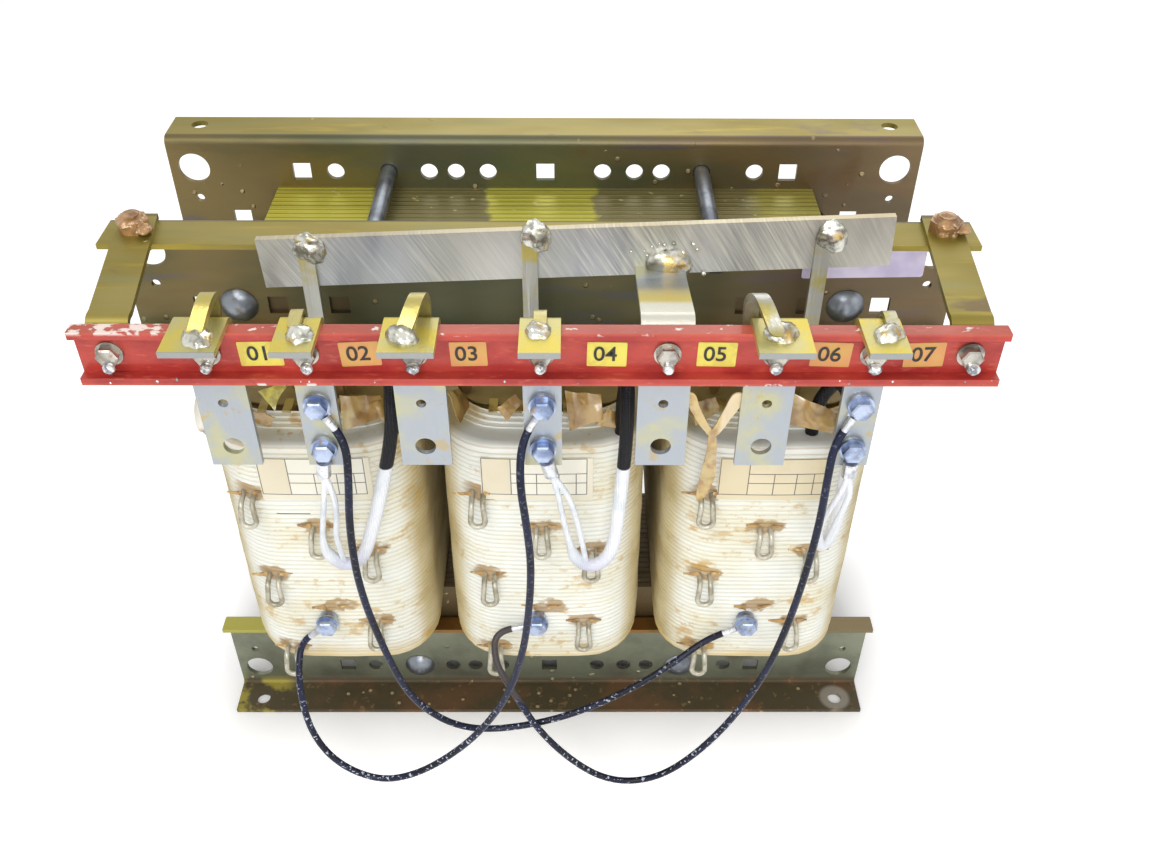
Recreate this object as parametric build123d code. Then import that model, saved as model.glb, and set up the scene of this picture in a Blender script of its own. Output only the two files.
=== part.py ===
"""Dry-type three-phase transformer: open core and coils with a terminal rail, in millimetres."""

import os
from math import cos, pi, radians, sin, tan

from build123d import *

# The frame: +X runs along the core to the viewer's right, +Y to the rear, +Z up.
# The origin lies on the floor, midway between the two lower clamps.

# Core of stacked E and I laminations
STACK = 96.0                 # depth of the stack
LEG = 70.0                   # width of a leg, and height of a yoke
LEG_PITCH = 130.0            # centre to centre of the legs
WINDOW = LEG_PITCH - LEG
WINDOW_HEIGHT = 186.0
CORE_LENGTH = 2 * LEG_PITCH + LEG
CORE_HEIGHT = WINDOW_HEIGHT + 2 * LEG

# Four equal clamps of folded sheet
SHEET = 3.0
CLAMP_LENGTH = 457.0
CLAMP_WEB = 75.0
FLANGE_OUTER = 29.0          # the wide flange, over the sheet
FLANGE_INNER = 15.0          # the narrow flange, which points the same way
BEND_RADIUS = 5.0
YOKE_TO_CLAMP = 33.0         # from the outer flange's face to the yoke
TOTAL_HEIGHT = CORE_HEIGHT + 2 * YOKE_TO_CLAMP
HALF_STACK = STACK / 2

# Holes in a clamp's web, measured from its outer flange's face
OUTER_ROW = 22.0
INNER_ROW = 54.0
ROUND_HOLE = 10.5
SQUARE_HOLE = 11.0
LIFTING_HOLE = 19.0
LIFTING_X = 214.0
LIFTING_DROP = 20.0
PILOT_HOLE = 5.0
PILOT_DROP = 40.0
TIE_X = 95.5                 # the tie bolts run just outside the yokes
END_BOLT_X = 170.5           # the end bolts pass the yokes' ends
OUTER_SQUARES = (0.0, 148.5)
OUTER_ROUNDS = (35.0, 54.5, 71.0, 128.0)
INNER_SQUARES = (114.0, 148.5, 190.0)
FLANGE_HOLE = 10.0
FLANGE_HOLE_X = 211.0
FLANGE_HOLE_Y = HALF_STACK + SHEET + 15.3

# Bolts through the clamps
TIE_ROD = 9.5
DOME_WIDTH = 22.0
DOME_HEIGHT = 6.0
NUT_ACROSS_FLATS = 14.3
NUT_HEIGHT = 8.0

# Windings
COIL_BASE = YOKE_TO_CLAMP + LEG
COIL_HEIGHT = 185.0
COIL_WIDTH = 119.0
COIL_DEPTH = 231.0
COIL_CORNER = 32.0
COIL_BOW = 3.0               # the front and rear faces bulge over the ducts
OUTER_WALL_SIDE = 9.5
OUTER_WALL_FRONT = 26.0
DUCT_SIDE = 2.0
DUCT_FRONT = 12.0
FORMER_GAP = 1.0
COIL_FRONT = -COIL_DEPTH / 2
COIL_TOP = COIL_BASE + COIL_HEIGHT
SPACER_WIDTH = 5.0
SPACER_PITCH = 14.0
SPACER_COUNT = 5
SPACER_RISE = 4.0

# Taps: wire loops that stand out of a coil's front, and one bolted tap below them
TAP_WIRE = 3.2
TAP_SPREAD = 9.0
TAP_LENGTH = 15.0
TAP_PLACES = ((-37, 250), (-1, 225), (28, 205), (-33, 184), (24, 142), (-32, 118))
TAP_BOLT_X = -5.0
TAP_BOLT_Z = 149.0
TAP_PAD = 4.0                # the tap's pad stands this far out of the coil

# Terminal rail, a channel that is open to the front
RAIL_X = 2.0
RAIL_LENGTH = 434.0
RAIL_HEIGHT = 30.0
RAIL_DEPTH = 10.0
RAIL_WALL = 4.0
RAIL_ROUND = 3.4
RAIL_TOP = 394.6
RAIL_BACK = -150.5
RAIL_BOLT_Z = RAIL_TOP - RAIL_HEIGHT / 2

# Flat straps that carry the rail
STRAP_WIDTH = 20.0
STRAP_REAR = -50.0
STRAP_X = 202.0

# Terminals on the rail: distance from the rail's centre, and kind
WIDE, NARROW = 25.4, 19.0
PLATE = 3.0
PLATE_BOTTOM = 306.0
TAB_FRONT = -180.0
TERMINALS = (
    ("terminal_1", -156.5, WIDE),
    ("terminal_2", -110.5, NARROW),
    ("terminal_3", -59.5, WIDE),
    ("terminal_4", 0.0, NARROW),
    ("terminal_5", 59.5, WIDE),
    ("terminal_6", 110.5, WIDE),
    ("terminal_7", 156.5, NARROW),
)
UPPER_HOLE_Z = 346.0
LOWER_HOLE_Z = 318.5
NEUTRAL_TERMINAL = 4

# Neutral bar
BAR_LENGTH = 321.0
BAR_HEIGHT = 28.0
BAR_THICK = 4.0
BAR_X = 18.0
BAR_Y = -86.0
BAR_Z = 394.0
BAR_SLOPE = 2.5

# Leads that rise from the inner windings: to the neutral bar, and over the rail on to the tabs
NEUTRAL_LEAD_X = (-118.0, -5.0, 143.0)
NEUTRAL_LEAD = (8.0, 2.5)    # width and thickness
WIDE_LEAD = (8.0, 3.5)
NARROW_LEAD = (6.0, 2.5)
LEAD_ROOT_Y = -68.0

# Ring lugs
RING_WIDTH = 12.0
RING_THICK = 1.5
RING_BORE = 2.5
LUG_REACH = 16.0             # from the bolt's axis to the mouth of the barrel

# Cables: each runs from a lug on a terminal's plate, by the points given, to its other end.
# Every point is (x, y, z); a cable leaves a lug along the angle given, seen from the front.
JUMPER = 4.2
SLEEVE = 7.5
JUMPERS = {
    "jumper_left": dict(
        terminal=1, start_angle=-64, start_run=10, coil=1, end_angle=211, end_run=13,
        route=[(-97.5, -156.5, 303), (-101.5, -158, 266), (-101.5, -158, 219), (-93, -157, 165),
               (-84, -156, 126), (-70, -154, 101), (-54, -152, 86), (-34, -150, 80), (-4, -148, 84),
               (26, -144, 93), (58, -138.5, 110), (82, -130.5, 123.5)]),
    "jumper_centre": dict(
        terminal=3, start_angle=-115, start_run=10, coil=-1, end_angle=222, end_run=9,
        route=[(-10, -162, 303), (-7, -165, 277), (-5, -166, 247), (-7.5, -165, 207), (-12, -164, 171),
               (-22, -163, 131), (-41, -161, 92), (-64, -160, 63), (-86, -159, 44), (-107, -158, 36),
               (-127, -156, 43), (-142, -153, 58), (-151, -149, 80), (-154, -143, 104),
               (-155, -134, 121)]),
    "jumper_right": dict(
        terminal=6, start_angle=-112, start_run=10, coil=0, end_angle=195, end_run=12,
        route=[(147.5, -157, 303), (147.5, -158, 272), (145.5, -158, 236), (141, -157, 189),
               (133, -156, 144), (118, -155, 99), (98, -155, 62), (77, -155, 37), (55, -155, 29),
               (34, -156, 37), (13, -157, 61), (-5, -156, 89), (-16, -152, 112), (-25, -144, 124),
               (-31, -136, 131)]),
}
COIL_LEADS = {
    "coil_lead_left": dict(
        terminal=1, start_angle=-97, start_run=12,
        route=[(-116, -150, 270), (-121, -145, 245), (-120, -140.5, 229), (-112, -137.5, 218),
               (-103, -135, 221), (-98, -133.5, 234), (-93, -132, 250), (-86, -128.5, 276),
               (-80, -125, 301), (-78, -121, 320), (-79, -111, 333), (-81, -102.5, 320),
               (-83, -102, 304), (-83, -102, COIL_TOP)]),
    "coil_lead_centre": dict(
        terminal=3, start_angle=-75, start_run=12,
        route=[(11.5, -149, 268), (15, -143.5, 243), (18, -140.5, 228), (25, -138, 218.5),
               (34, -136.5, 219), (40, -135, 230), (42, -133, 250), (44, -129, 276), (45.5, -125, 300),
               (46, -121, 320), (46, -111, 333), (45, -102.5, 320), (44, -102, 304), (44, -102, COIL_TOP)]),
    "coil_lead_right": dict(
        terminal=6, start_angle=-90, start_run=10,
        route=[(160.5, -151, 276), (162, -146, 256), (161, -141, 242), (157, -136, 236),
               (153.5, -130, 243), (152, -126, 260), (151, -123, 284), (150, -120, 306), (150, -116, 324),
               (150, -108, 333), (150, -102.5, 320), (150, -102, 304), (150, -102, COIL_TOP)]),
}


def mirrored(shape, y=False, z_about=None):
    """Mirrors a shape front to rear, and up and down in the plane at z_about."""
    if y:
        shape = mirror(shape, about=Plane.XZ)
    if z_about is not None:
        shape = mirror(shape, about=Plane.XY.offset(z_about))
    return shape


def both_sides(values):
    """Each distance on both sides of the middle, and the middle only once."""
    return sorted({sign * value for value in values for sign in (-1, 1)})


def write(name, shape):
    export_step(shape, f"parts/{name}.step")


# Core

def core():
    """One stack of laminations with its two windows."""
    outline = Rectangle(CORE_LENGTH, CORE_HEIGHT)
    windows = GridLocations(LEG_PITCH, 0, 2, 1) * Rectangle(WINDOW, WINDOW_HEIGHT)
    middle = Plane.XZ * Pos(0, TOTAL_HEIGHT / 2)
    return extrude(middle * (outline - windows), HALF_STACK, both=True)


# Clamps

def channel_profile():
    """The folded sheet seen from its end, with its back at 0 and its wide flange up."""
    outline = Polyline(
        (0, 0), (-FLANGE_INNER, 0), (-FLANGE_INNER, SHEET), (-SHEET, SHEET),
        (-SHEET, CLAMP_WEB - SHEET), (-FLANGE_OUTER, CLAMP_WEB - SHEET),
        (-FLANGE_OUTER, CLAMP_WEB), (0, CLAMP_WEB), close=True,
    )
    face = make_face(outline)
    outer = [v for v in face.vertices() if abs(v.X) < 0.01]
    face = fillet(outer, BEND_RADIUS)
    inner = [v for v in face.vertices() if abs(v.X + SHEET) < 0.01 and 2 < v.Y < CLAMP_WEB - 2]
    return fillet(inner, BEND_RADIUS - SHEET)


def web_holes():
    """Cutters for the web, drawn with X along the clamp and Z up from the narrow flange."""
    outer_row, inner_row = CLAMP_WEB - OUTER_ROW, CLAMP_WEB - INNER_ROW
    lifting, pilot = CLAMP_WEB - LIFTING_DROP, CLAMP_WEB - PILOT_DROP
    holes = Sketch()
    for x in both_sides((LIFTING_X,)):
        holes += Pos(x, lifting) * Circle(LIFTING_HOLE / 2)
        holes += Pos(x, pilot) * Circle(PILOT_HOLE / 2)
    for x in both_sides(OUTER_ROUNDS + (TIE_X,)):
        holes += Pos(x, outer_row) * Circle(ROUND_HOLE / 2)
    for x in both_sides((END_BOLT_X,)):
        holes += Pos(x, inner_row) * Circle(ROUND_HOLE / 2)
    for row, places in ((outer_row, OUTER_SQUARES), (inner_row, INNER_SQUARES)):
        for x in both_sides(places):
            holes += Pos(x, row) * Rectangle(SQUARE_HOLE, SQUARE_HOLE)
    return extrude(Plane.XZ * holes, 2 * SHEET, both=True)


def clamp():
    """The front upper clamp; the other three are its mirror images."""
    body = extrude(Plane.YZ * channel_profile(), CLAMP_LENGTH / 2, both=True)
    body -= web_holes()
    flange_holes = Sketch() + [
        Pos(x, HALF_STACK - FLANGE_HOLE_Y) * Circle(FLANGE_HOLE / 2) for x in both_sides((FLANGE_HOLE_X,))
    ]
    body -= extrude(Plane.XY.offset(CLAMP_WEB) * flange_holes, SHEET * 2, both=True)
    return Pos(0, -HALF_STACK, TOTAL_HEIGHT - CLAMP_WEB) * body


# Bolts

def dome(width, height):
    """A round head that stands on its flat face and rises along +Z."""
    radius = (width ** 2 / 4 + height ** 2) / (2 * height)
    drum = Cylinder(width / 2 - 0.4, height, align=(Align.CENTER, Align.CENTER, Align.MIN))
    return drum & Pos(0, 0, height - radius) * Sphere(radius)


def hexagon_prism(across_flats, height):
    return extrude(RegularPolygon(across_flats / 2, 6, major_radius=False), height)


def washer_head(width, across_flats, height):
    """A hexagon on its own washer, rising along +Z."""
    washer = Cylinder(width / 2, height * 0.25, align=(Align.CENTER, Align.CENTER, Align.MIN))
    top = Pos(0, 0, height * 0.25) * hexagon_prism(across_flats, height * 0.75)
    return washer + chamfer_top(top, height)


def chamfer_top(prism, height):
    edge = prism.faces().sort_by(Axis.Z)[-1].edges()
    return chamfer(edge, height * 0.12)


def facing_front(shape, x, y, z):
    """Turns what rises along +Z so that it rises towards the viewer."""
    return Pos(x, y, z) * (Rot(90, 0, 0) * shape)


def clamp_bolt(x, z):
    """A bolt from the front clamp's face to a nut on the rear clamp's face."""
    face = HALF_STACK + SHEET
    rod = Cylinder(TIE_ROD / 2, 2 * face + NUT_HEIGHT + 4, align=(Align.CENTER, Align.CENTER, Align.MAX))
    head = dome(DOME_WIDTH, DOME_HEIGHT)
    nut = Pos(0, 0, -2 * face - NUT_HEIGHT) * hexagon_prism(NUT_ACROSS_FLATS, NUT_HEIGHT)
    return facing_front(rod + head + nut, x, -face, z)


def bolt_pair(x, z):
    return Compound(children=[clamp_bolt(side * x, z) for side in (-1, 1)])


# Windings

def coil_outline(width, depth, corner, bow):
    """A coil's plan: flat sides, rounded corners, and faces that bulge a little."""
    half, edge = width / 2, depth / 2 - bow
    plan = make_face([
        Line((-half, -edge), (-half, edge)),
        ThreePointArc((-half, edge), (0, depth / 2), (half, edge)),
        Line((half, edge), (half, -edge)),
        ThreePointArc((half, -edge), (0, -depth / 2), (-half, -edge)),
    ])
    return fillet(plan.vertices(), corner)


def outer_winding(height=COIL_HEIGHT):
    wall = coil_outline(COIL_WIDTH, COIL_DEPTH, COIL_CORNER, COIL_BOW)
    hollow = coil_outline(
        COIL_WIDTH - 2 * OUTER_WALL_SIDE, COIL_DEPTH - 2 * OUTER_WALL_FRONT,
        COIL_CORNER - OUTER_WALL_SIDE, COIL_BOW,
    )
    return Pos(0, 0, COIL_BASE) * extrude(wall - hollow, height)


def inner_winding(height=COIL_HEIGHT):
    wall = coil_outline(
        COIL_WIDTH - 2 * (OUTER_WALL_SIDE + DUCT_SIDE), COIL_DEPTH - 2 * (OUTER_WALL_FRONT + DUCT_FRONT),
        COIL_CORNER - OUTER_WALL_SIDE - 6, COIL_BOW,
    )
    former = Rectangle(LEG + 2 * FORMER_GAP, STACK + 2 * FORMER_GAP)
    return Pos(0, 0, COIL_BASE) * extrude(wall - former, height)


def duct_spacers():
    """Sticks that hold the duct open between a coil's two windings, front and rear."""
    height = COIL_HEIGHT + SPACER_RISE
    outer, inner = outer_winding(height), inner_winding(height)
    bar = Box(SPACER_WIDTH, 3 * DUCT_FRONT, height, align=(Align.CENTER, Align.CENTER, Align.MIN))
    duct_y = COIL_DEPTH / 2 - OUTER_WALL_FRONT - DUCT_FRONT / 2
    solids = []
    for y in (-duct_y, duct_y):
        for place in GridLocations(SPACER_PITCH, 0, SPACER_COUNT, 1):
            stick = Pos(0, y, COIL_BASE) * place * bar - outer - inner
            solids += [s for s in stick.solids() if abs(s.center().Y - y) < DUCT_FRONT / 2]
    return solids


def tap_loop(x, z):
    """A loop of the winding's wire that stands out of the coil's front and hangs over."""
    half = TAP_SPREAD / 2
    inside, out = COIL_FRONT + 8, COIL_FRONT - 6
    tip = COIL_FRONT - 8
    route = [
        (x - half * 0.7, inside, z + 3), (x - half * 0.7, out, z), (x - half, tip, z - TAP_LENGTH),
        (x + half, tip, z - TAP_LENGTH), (x + half * 0.7, out, z), (x + half * 0.7, inside, z + 3),
    ]
    path = FilletPolyline(*route, radius=[3.5, 4.2, 4.2, 3.5])
    return sweep((path ^ 0) * Circle(TAP_WIRE / 2), path=path)


def tap_loops(outer):
    return [s for x, z in TAP_PLACES for s in front_part(tap_loop(x, z) - outer)]


def front_part(shape):
    """What stands out in front of the coil once the coil is cut away from it."""
    return [s for s in shape.solids() if s.center().Y < COIL_FRONT]


def tap_bolt():
    """A pad on the coil's tap, with the washer-headed bolt that clamps a cable's ring to it."""
    up = (Align.CENTER, Align.CENTER, Align.MIN)
    pad = Cylinder(5.5, TAP_PAD, align=up)
    shank = Cylinder(RING_BORE - 0.2, TAP_PAD + RING_THICK, align=up)
    head = Pos(0, 0, TAP_PAD + RING_THICK) * washer_head(14, 11, 6)
    return facing_front(pad + shank + head, TAP_BOLT_X, COIL_FRONT, TAP_BOLT_Z)


# Rail, straps and terminals

def rail():
    half = RAIL_LENGTH / 2
    front = RAIL_BACK - RAIL_DEPTH
    bottom = RAIL_TOP - RAIL_HEIGHT
    profile = Polyline(
        (RAIL_BACK, bottom), (front, bottom), (front, bottom + RAIL_WALL), (RAIL_BACK - RAIL_WALL, bottom + RAIL_WALL),
        (RAIL_BACK - RAIL_WALL, RAIL_TOP - RAIL_WALL), (front, RAIL_TOP - RAIL_WALL), (front, RAIL_TOP),
        (RAIL_BACK, RAIL_TOP), close=True,
    )
    face = make_face(profile)
    face = fillet([v for v in face.vertices() if abs(v.X - RAIL_BACK) < 0.01], RAIL_ROUND)
    body = extrude(Plane.YZ * face, half, both=True)
    places = [x for _, x, _ in TERMINALS] + [-STRAP_X, STRAP_X]
    for x in places:
        body -= Pos(x, RAIL_BACK, RAIL_BOLT_Z) * (Rot(90, 0, 0) * Cylinder(3.2, 4 * RAIL_WALL))
    return Pos(RAIL_X, 0, 0) * body


def bent_strip(points, radii, width, thickness=PLATE):
    """A flat bar whose middle line follows points of the YZ plane."""
    line = FilletPolyline(*points, radius=radii)
    return extrude(Plane.YZ * trace(line, thickness), width / 2, both=True)


def strap(lean):
    """A flat bar on the clamp's flange, bent down behind the rail; its rear end leans sideways."""
    top = TOTAL_HEIGHT + PLATE / 2
    back = RAIL_BACK + PLATE / 2
    turn = back + 7
    body = bent_strip([(turn, top), (back, top), (back, RAIL_TOP - RAIL_HEIGHT + 2)], [4.5], STRAP_WIDTH)
    shift = lean * (STRAP_REAR - turn) / (-FLANGE_HOLE_Y - turn)
    half = STRAP_WIDTH / 2
    flat = make_face(Polyline(
        (-half, turn), (half, turn), (half + shift, STRAP_REAR), (shift - half, STRAP_REAR), close=True))
    body += extrude(Plane.XY.offset(TOTAL_HEIGHT) * flat, PLATE)
    body -= Pos(0, RAIL_BACK, RAIL_BOLT_Z) * (Rot(90, 0, 0) * Cylinder(3.2, 20))
    body -= Pos(lean, -FLANGE_HOLE_Y, TOTAL_HEIGHT) * Cylinder(FLANGE_HOLE / 2, 20)
    return body


def strap_bolt(x):
    """Holds a strap to the clamp's flange: head below, nut on top."""
    up = (Align.CENTER, Align.CENTER, Align.MIN)
    under = -PLATE - SHEET
    rod = Pos(0, 0, under) * Cylinder(FLANGE_HOLE / 2 - 0.5, PLATE + SHEET + 9, align=up)
    head = Pos(0, 0, under - 5) * hexagon_prism(15, 5)
    nut = hexagon_prism(15, 6)
    return Pos(x, -FLANGE_HOLE_Y, TOTAL_HEIGHT + PLATE) * (rod + nut + head)


def rail_bolt(x):
    """Washer head in the rail's channel, with a nut behind what it holds."""
    web_front = RAIL_BACK - RAIL_WALL
    grip = RAIL_WALL + PLATE
    shank = Cylinder(3.0, grip + 6, align=(Align.CENTER, Align.CENTER, Align.MAX))
    nut = Pos(0, 0, -grip - 5) * hexagon_prism(11, 5)
    return facing_front(washer_head(13, 9.5, 6) + shank + nut, x, web_front, RAIL_BOLT_Z)


def terminal(width, tab):
    """A flat bar behind the rail; most are bent forward over the rail as a tab."""
    back = RAIL_BACK + PLATE / 2
    if tab:
        top = RAIL_TOP + PLATE / 2
        body = bent_strip([(back, PLATE_BOTTOM), (back, top), (TAB_FRONT, top)], [4.5], width)
    else:
        low = BAR_Z - 9
        body = bent_strip(
            [(back, PLATE_BOTTOM), (back, RAIL_TOP), (BAR_Y - 14, low), (BAR_Y - BAR_THICK / 2, low)],
            [5, 12], width)
    for z, hole in ((UPPER_HOLE_Z, 5.0), (LOWER_HOLE_Z, 10.5), (RAIL_BOLT_Z, 6.4)):
        body -= Pos(0, RAIL_BACK, z) * (Rot(90, 0, 0) * Cylinder(hole / 2, 20))
    return body


def terminal_bolt(x, z):
    """Clamps a ring lug to the front of a terminal's plate."""
    grip = RING_THICK + PLATE
    shank = Cylinder(RING_BORE - 0.2, grip + 6, align=(Align.CENTER, Align.CENTER, Align.MAX))
    nut = Pos(0, 0, -grip - 5) * hexagon_prism(11, 5)
    return facing_front(washer_head(13.5, 10, 6) + shank + nut, x, RAIL_BACK - RING_THICK, z)


# Neutral bar and the leads from the inner windings

def neutral_bar():
    return Pos(BAR_X, BAR_Y, BAR_Z) * (Rot(0, -BAR_SLOPE, 0) * Box(BAR_LENGTH, BAR_THICK, BAR_HEIGHT))


def neutral_lead(x):
    """Rises from the inner winding's top and lies against the bar's front."""
    width, thickness = NEUTRAL_LEAD
    face = BAR_Y - BAR_THICK / 2 - thickness / 2
    route = [(LEAD_ROOT_Y - 4, COIL_TOP), (LEAD_ROOT_Y - 4, COIL_TOP + 17), (face, COIL_TOP + 52), (face, BAR_Z + 8)]
    return Pos(x, 0, 0) * bent_strip(route, [12, 12], width, thickness)


def tab_lead(x, size, arch, skew, sidestep=0.0):
    """Rises from the inner winding, arches over the rail and lies on a terminal's tab."""
    width, thickness = size
    tab = RAIL_TOP + PLATE + thickness / 2
    root = LEAD_ROOT_Y
    landing = RAIL_BACK - 12
    route = [
        (root, COIL_TOP), (root, COIL_TOP + 17), (RAIL_BACK + 18, tab - 22), (RAIL_BACK + 10, tab + arch),
        (landing + 6, tab + arch), (landing, tab), (landing - 9, tab),
    ]
    strip = bent_strip(route, [10, 12, 7, 5, 3], width, thickness)
    pivot = Pos(0, landing, 0)
    return Pos(x + sidestep, 0, 0) * pivot * Rot(0, 0, skew) * pivot.inverse() * strip


# Cables

def lug_direction(angle):
    return Vector(cos(radians(angle)), 0, sin(radians(angle)))


def lug(wire, x, back, z, angle):
    """A ring on a bolt's axis with a barrel that points along the angle; its back is at y = back."""
    up = (Align.CENTER, Align.CENTER, Align.MIN)
    ring = Cylinder(RING_WIDTH / 2, RING_THICK, align=up)
    tongue = Pos(LUG_REACH / 4, 0, RING_THICK / 2) * Box(LUG_REACH / 2, RING_WIDTH * 0.5, RING_THICK)
    barrel = Pos(LUG_REACH / 2 - 1, 0, wire / 2 + 0.1) * (
        Rot(0, 90, 0) * Cylinder(wire / 2, LUG_REACH / 2 + 1, align=up))
    shape = ring + tongue + barrel - Cylinder(RING_BORE, 10)
    return Pos(x, back, z) * (Rot(0, -angle, 0) * (Rot(90, 0, 0) * shape))


def lug_mouth(wire, x, back, z, angle, run=0.0):
    """The middle of the barrel's mouth, or a point straight out of it."""
    return Vector(x, back - wire / 2 - 0.1, z) + lug_direction(angle) * (LUG_REACH + run)


def corner_radii(points):
    """Each bend is as wide as its two runs allow."""
    radii = []
    for before, here, after in zip(points, points[1:], points[2:]):
        first, second = here - before, after - here
        turn = radians(first.get_angle(second))
        radii.append(0.45 * min(first.length, second.length) / tan(turn / 2))
    return radii


def cable(name, wire, points):
    """A round cable along the points, checked against its section times its length."""
    points = [Vector(*p) for p in points]
    radii = corner_radii(points)
    path = FilletPolyline(*points, radius=radii)
    tube = sweep((path ^ 0) * Circle(wire / 2), path=path)
    share = tube.volume / (path.length * pi * wire ** 2 / 4)
    print(name, "length", round(path.length), "least radius", round(min(radii), 1), "share", round(share, 4))
    return tube


def terminal_x(index):
    return RAIL_X + TERMINALS[index][1]


def jumper(name, terminal, start_angle, start_run, coil, end_angle, end_run, route):
    """A cable from a terminal's upper bolt to a coil's tap, with a lug at each end."""
    start = (JUMPER, terminal_x(terminal), RAIL_BACK, UPPER_HOLE_Z, start_angle)
    end = (JUMPER, coil * LEG_PITCH + TAP_BOLT_X, COIL_FRONT - TAP_PAD, TAP_BOLT_Z, end_angle)
    points = [lug_mouth(*start), lug_mouth(*start, start_run), *route, lug_mouth(*end, end_run), lug_mouth(*end)]
    return cable(name, JUMPER, points), [lug(*start), lug(*end)]


def coil_lead(name, terminal, start_angle, start_run, route):
    """A sleeved lead from a terminal's lower bolt, in a loop before the coil, to the coil's top."""
    start = (SLEEVE, terminal_x(terminal), RAIL_BACK, LOWER_HOLE_Z, start_angle)
    points = [lug_mouth(*start), lug_mouth(*start, start_run), *route]
    return cable(name, SLEEVE, points), [lug(*start)]


def main():
    os.makedirs("parts", exist_ok=True)
    write("core", core())
    front_upper = clamp()
    mid = TOTAL_HEIGHT / 2
    write("front_upper_clamp", front_upper)
    write("rear_upper_clamp", mirrored(front_upper, y=True))
    write("front_lower_clamp", mirrored(front_upper, z_about=mid))
    write("rear_lower_clamp", mirrored(front_upper, y=True, z_about=mid))
    write("upper_tie_bolts", bolt_pair(TIE_X, TOTAL_HEIGHT - OUTER_ROW))
    write("lower_tie_bolts", bolt_pair(TIE_X, OUTER_ROW))
    write("upper_end_bolts", bolt_pair(END_BOLT_X, TOTAL_HEIGHT - INNER_ROW))
    write("lower_end_bolts", bolt_pair(END_BOLT_X, INNER_ROW))

    outer, inner = outer_winding(), inner_winding()
    sticks, loops, bolt = duct_spacers(), tap_loops(outer), tap_bolt()
    for side, x in (("left", -LEG_PITCH), ("centre", 0), ("right", LEG_PITCH)):
        place = Pos(x, 0, 0)
        write(f"{side}_outer_winding", place * outer)
        write(f"{side}_inner_winding", place * inner)
        write(f"{side}_tap_loops", Compound(children=[place * s for s in loops]))
    pitches = [Pos(x, 0, 0) for x in (-LEG_PITCH, 0, LEG_PITCH)]
    write("duct_spacers", Compound(children=[place * s for place in pitches for s in sticks]))
    write("tap_bolts", Compound(children=[place * bolt for place in pitches]))

    write("terminal_rail", rail())
    for side, x in (("left", -STRAP_X), ("right", STRAP_X)):
        hole = FLANGE_HOLE_X if x > 0 else -FLANGE_HOLE_X
        write(f"{side}_rail_strap", Pos(RAIL_X + x, 0, 0) * strap(hole - RAIL_X - x))
    for name, x, width in TERMINALS:
        write(name, Pos(RAIL_X + x, 0, 0) * terminal(width, x != TERMINALS[NEUTRAL_TERMINAL][1]))
    places = [x for _, x, _ in TERMINALS] + [-STRAP_X, STRAP_X]
    write("rail_bolts", Compound(children=[rail_bolt(RAIL_X + x) for x in places]))
    write("strap_bolts", Compound(children=[strap_bolt(x) for x in (-FLANGE_HOLE_X, FLANGE_HOLE_X)]))
    write("terminal_bolts", Compound(children=[
        terminal_bolt(terminal_x(i), z) for i in (1, 3, 6) for z in (UPPER_HOLE_Z, LOWER_HOLE_Z)]))

    write("neutral_bar", neutral_bar())
    write("neutral_leads", Compound(children=[neutral_lead(x) for x in NEUTRAL_LEAD_X]))
    write("wide_tab_leads", Compound(children=[
        tab_lead(terminal_x(i), WIDE_LEAD, arch=9, skew=skew) for i, skew in ((0, -16), (2, -18), (5, 14))]))
    write("narrow_tab_leads", Compound(children=[
        tab_lead(terminal_x(i), NARROW_LEAD, arch=1, skew=0, sidestep=3) for i in (1, 3, 6)]))

    jumper_lugs, lead_lugs = [], []
    for name, values in JUMPERS.items():
        tube, lugs = jumper(name, **values)
        write(name, tube)
        jumper_lugs += lugs
    for name, values in COIL_LEADS.items():
        tube, lugs = coil_lead(name, **values)
        write(name, tube)
        lead_lugs += lugs
    write("jumper_lugs", Compound(children=jumper_lugs))
    write("coil_lead_lugs", Compound(children=lead_lugs))


main()
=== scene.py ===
# %% [markdown]
# # A dry-type transformer, dressed for its portrait
#
# The object is a three-phase transformer of the open kind: a laminated core between four
# clamps of folded sheet, three tall windings in ribbed ivory wrap, and a red terminal rail
# that two flat straps carry in front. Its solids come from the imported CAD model, which is
# loaded first and stays fixed. Everything in this file is looks: finishes for the solids,
# and new pieces where the real surface has more shape than a solid needs.

# %% The fixed frame
import math
import random

import bmesh
import bpy
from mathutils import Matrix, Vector


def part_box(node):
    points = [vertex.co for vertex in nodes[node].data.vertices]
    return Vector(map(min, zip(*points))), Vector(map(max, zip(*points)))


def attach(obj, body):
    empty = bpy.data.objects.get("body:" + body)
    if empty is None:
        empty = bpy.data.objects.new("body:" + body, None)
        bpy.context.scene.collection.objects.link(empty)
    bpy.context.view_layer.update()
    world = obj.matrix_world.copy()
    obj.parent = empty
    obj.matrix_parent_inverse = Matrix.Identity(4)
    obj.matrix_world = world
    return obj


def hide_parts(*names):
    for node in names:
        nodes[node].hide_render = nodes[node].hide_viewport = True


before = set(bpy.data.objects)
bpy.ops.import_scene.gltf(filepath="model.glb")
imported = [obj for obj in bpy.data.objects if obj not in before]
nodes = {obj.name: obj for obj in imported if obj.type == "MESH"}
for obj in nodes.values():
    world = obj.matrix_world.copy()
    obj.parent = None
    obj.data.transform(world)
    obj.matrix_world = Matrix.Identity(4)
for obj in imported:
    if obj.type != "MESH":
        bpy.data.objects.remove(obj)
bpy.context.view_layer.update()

# %% [markdown]
# The camera comes first, because every later choice is judged through it. The photographer
# stood close and looked down at about forty degrees. A focal length, a place and three
# angles are enough: they were found from edges measured in the picture, such as those of
# the clamps and the rail, rather than tried by eye.

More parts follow.
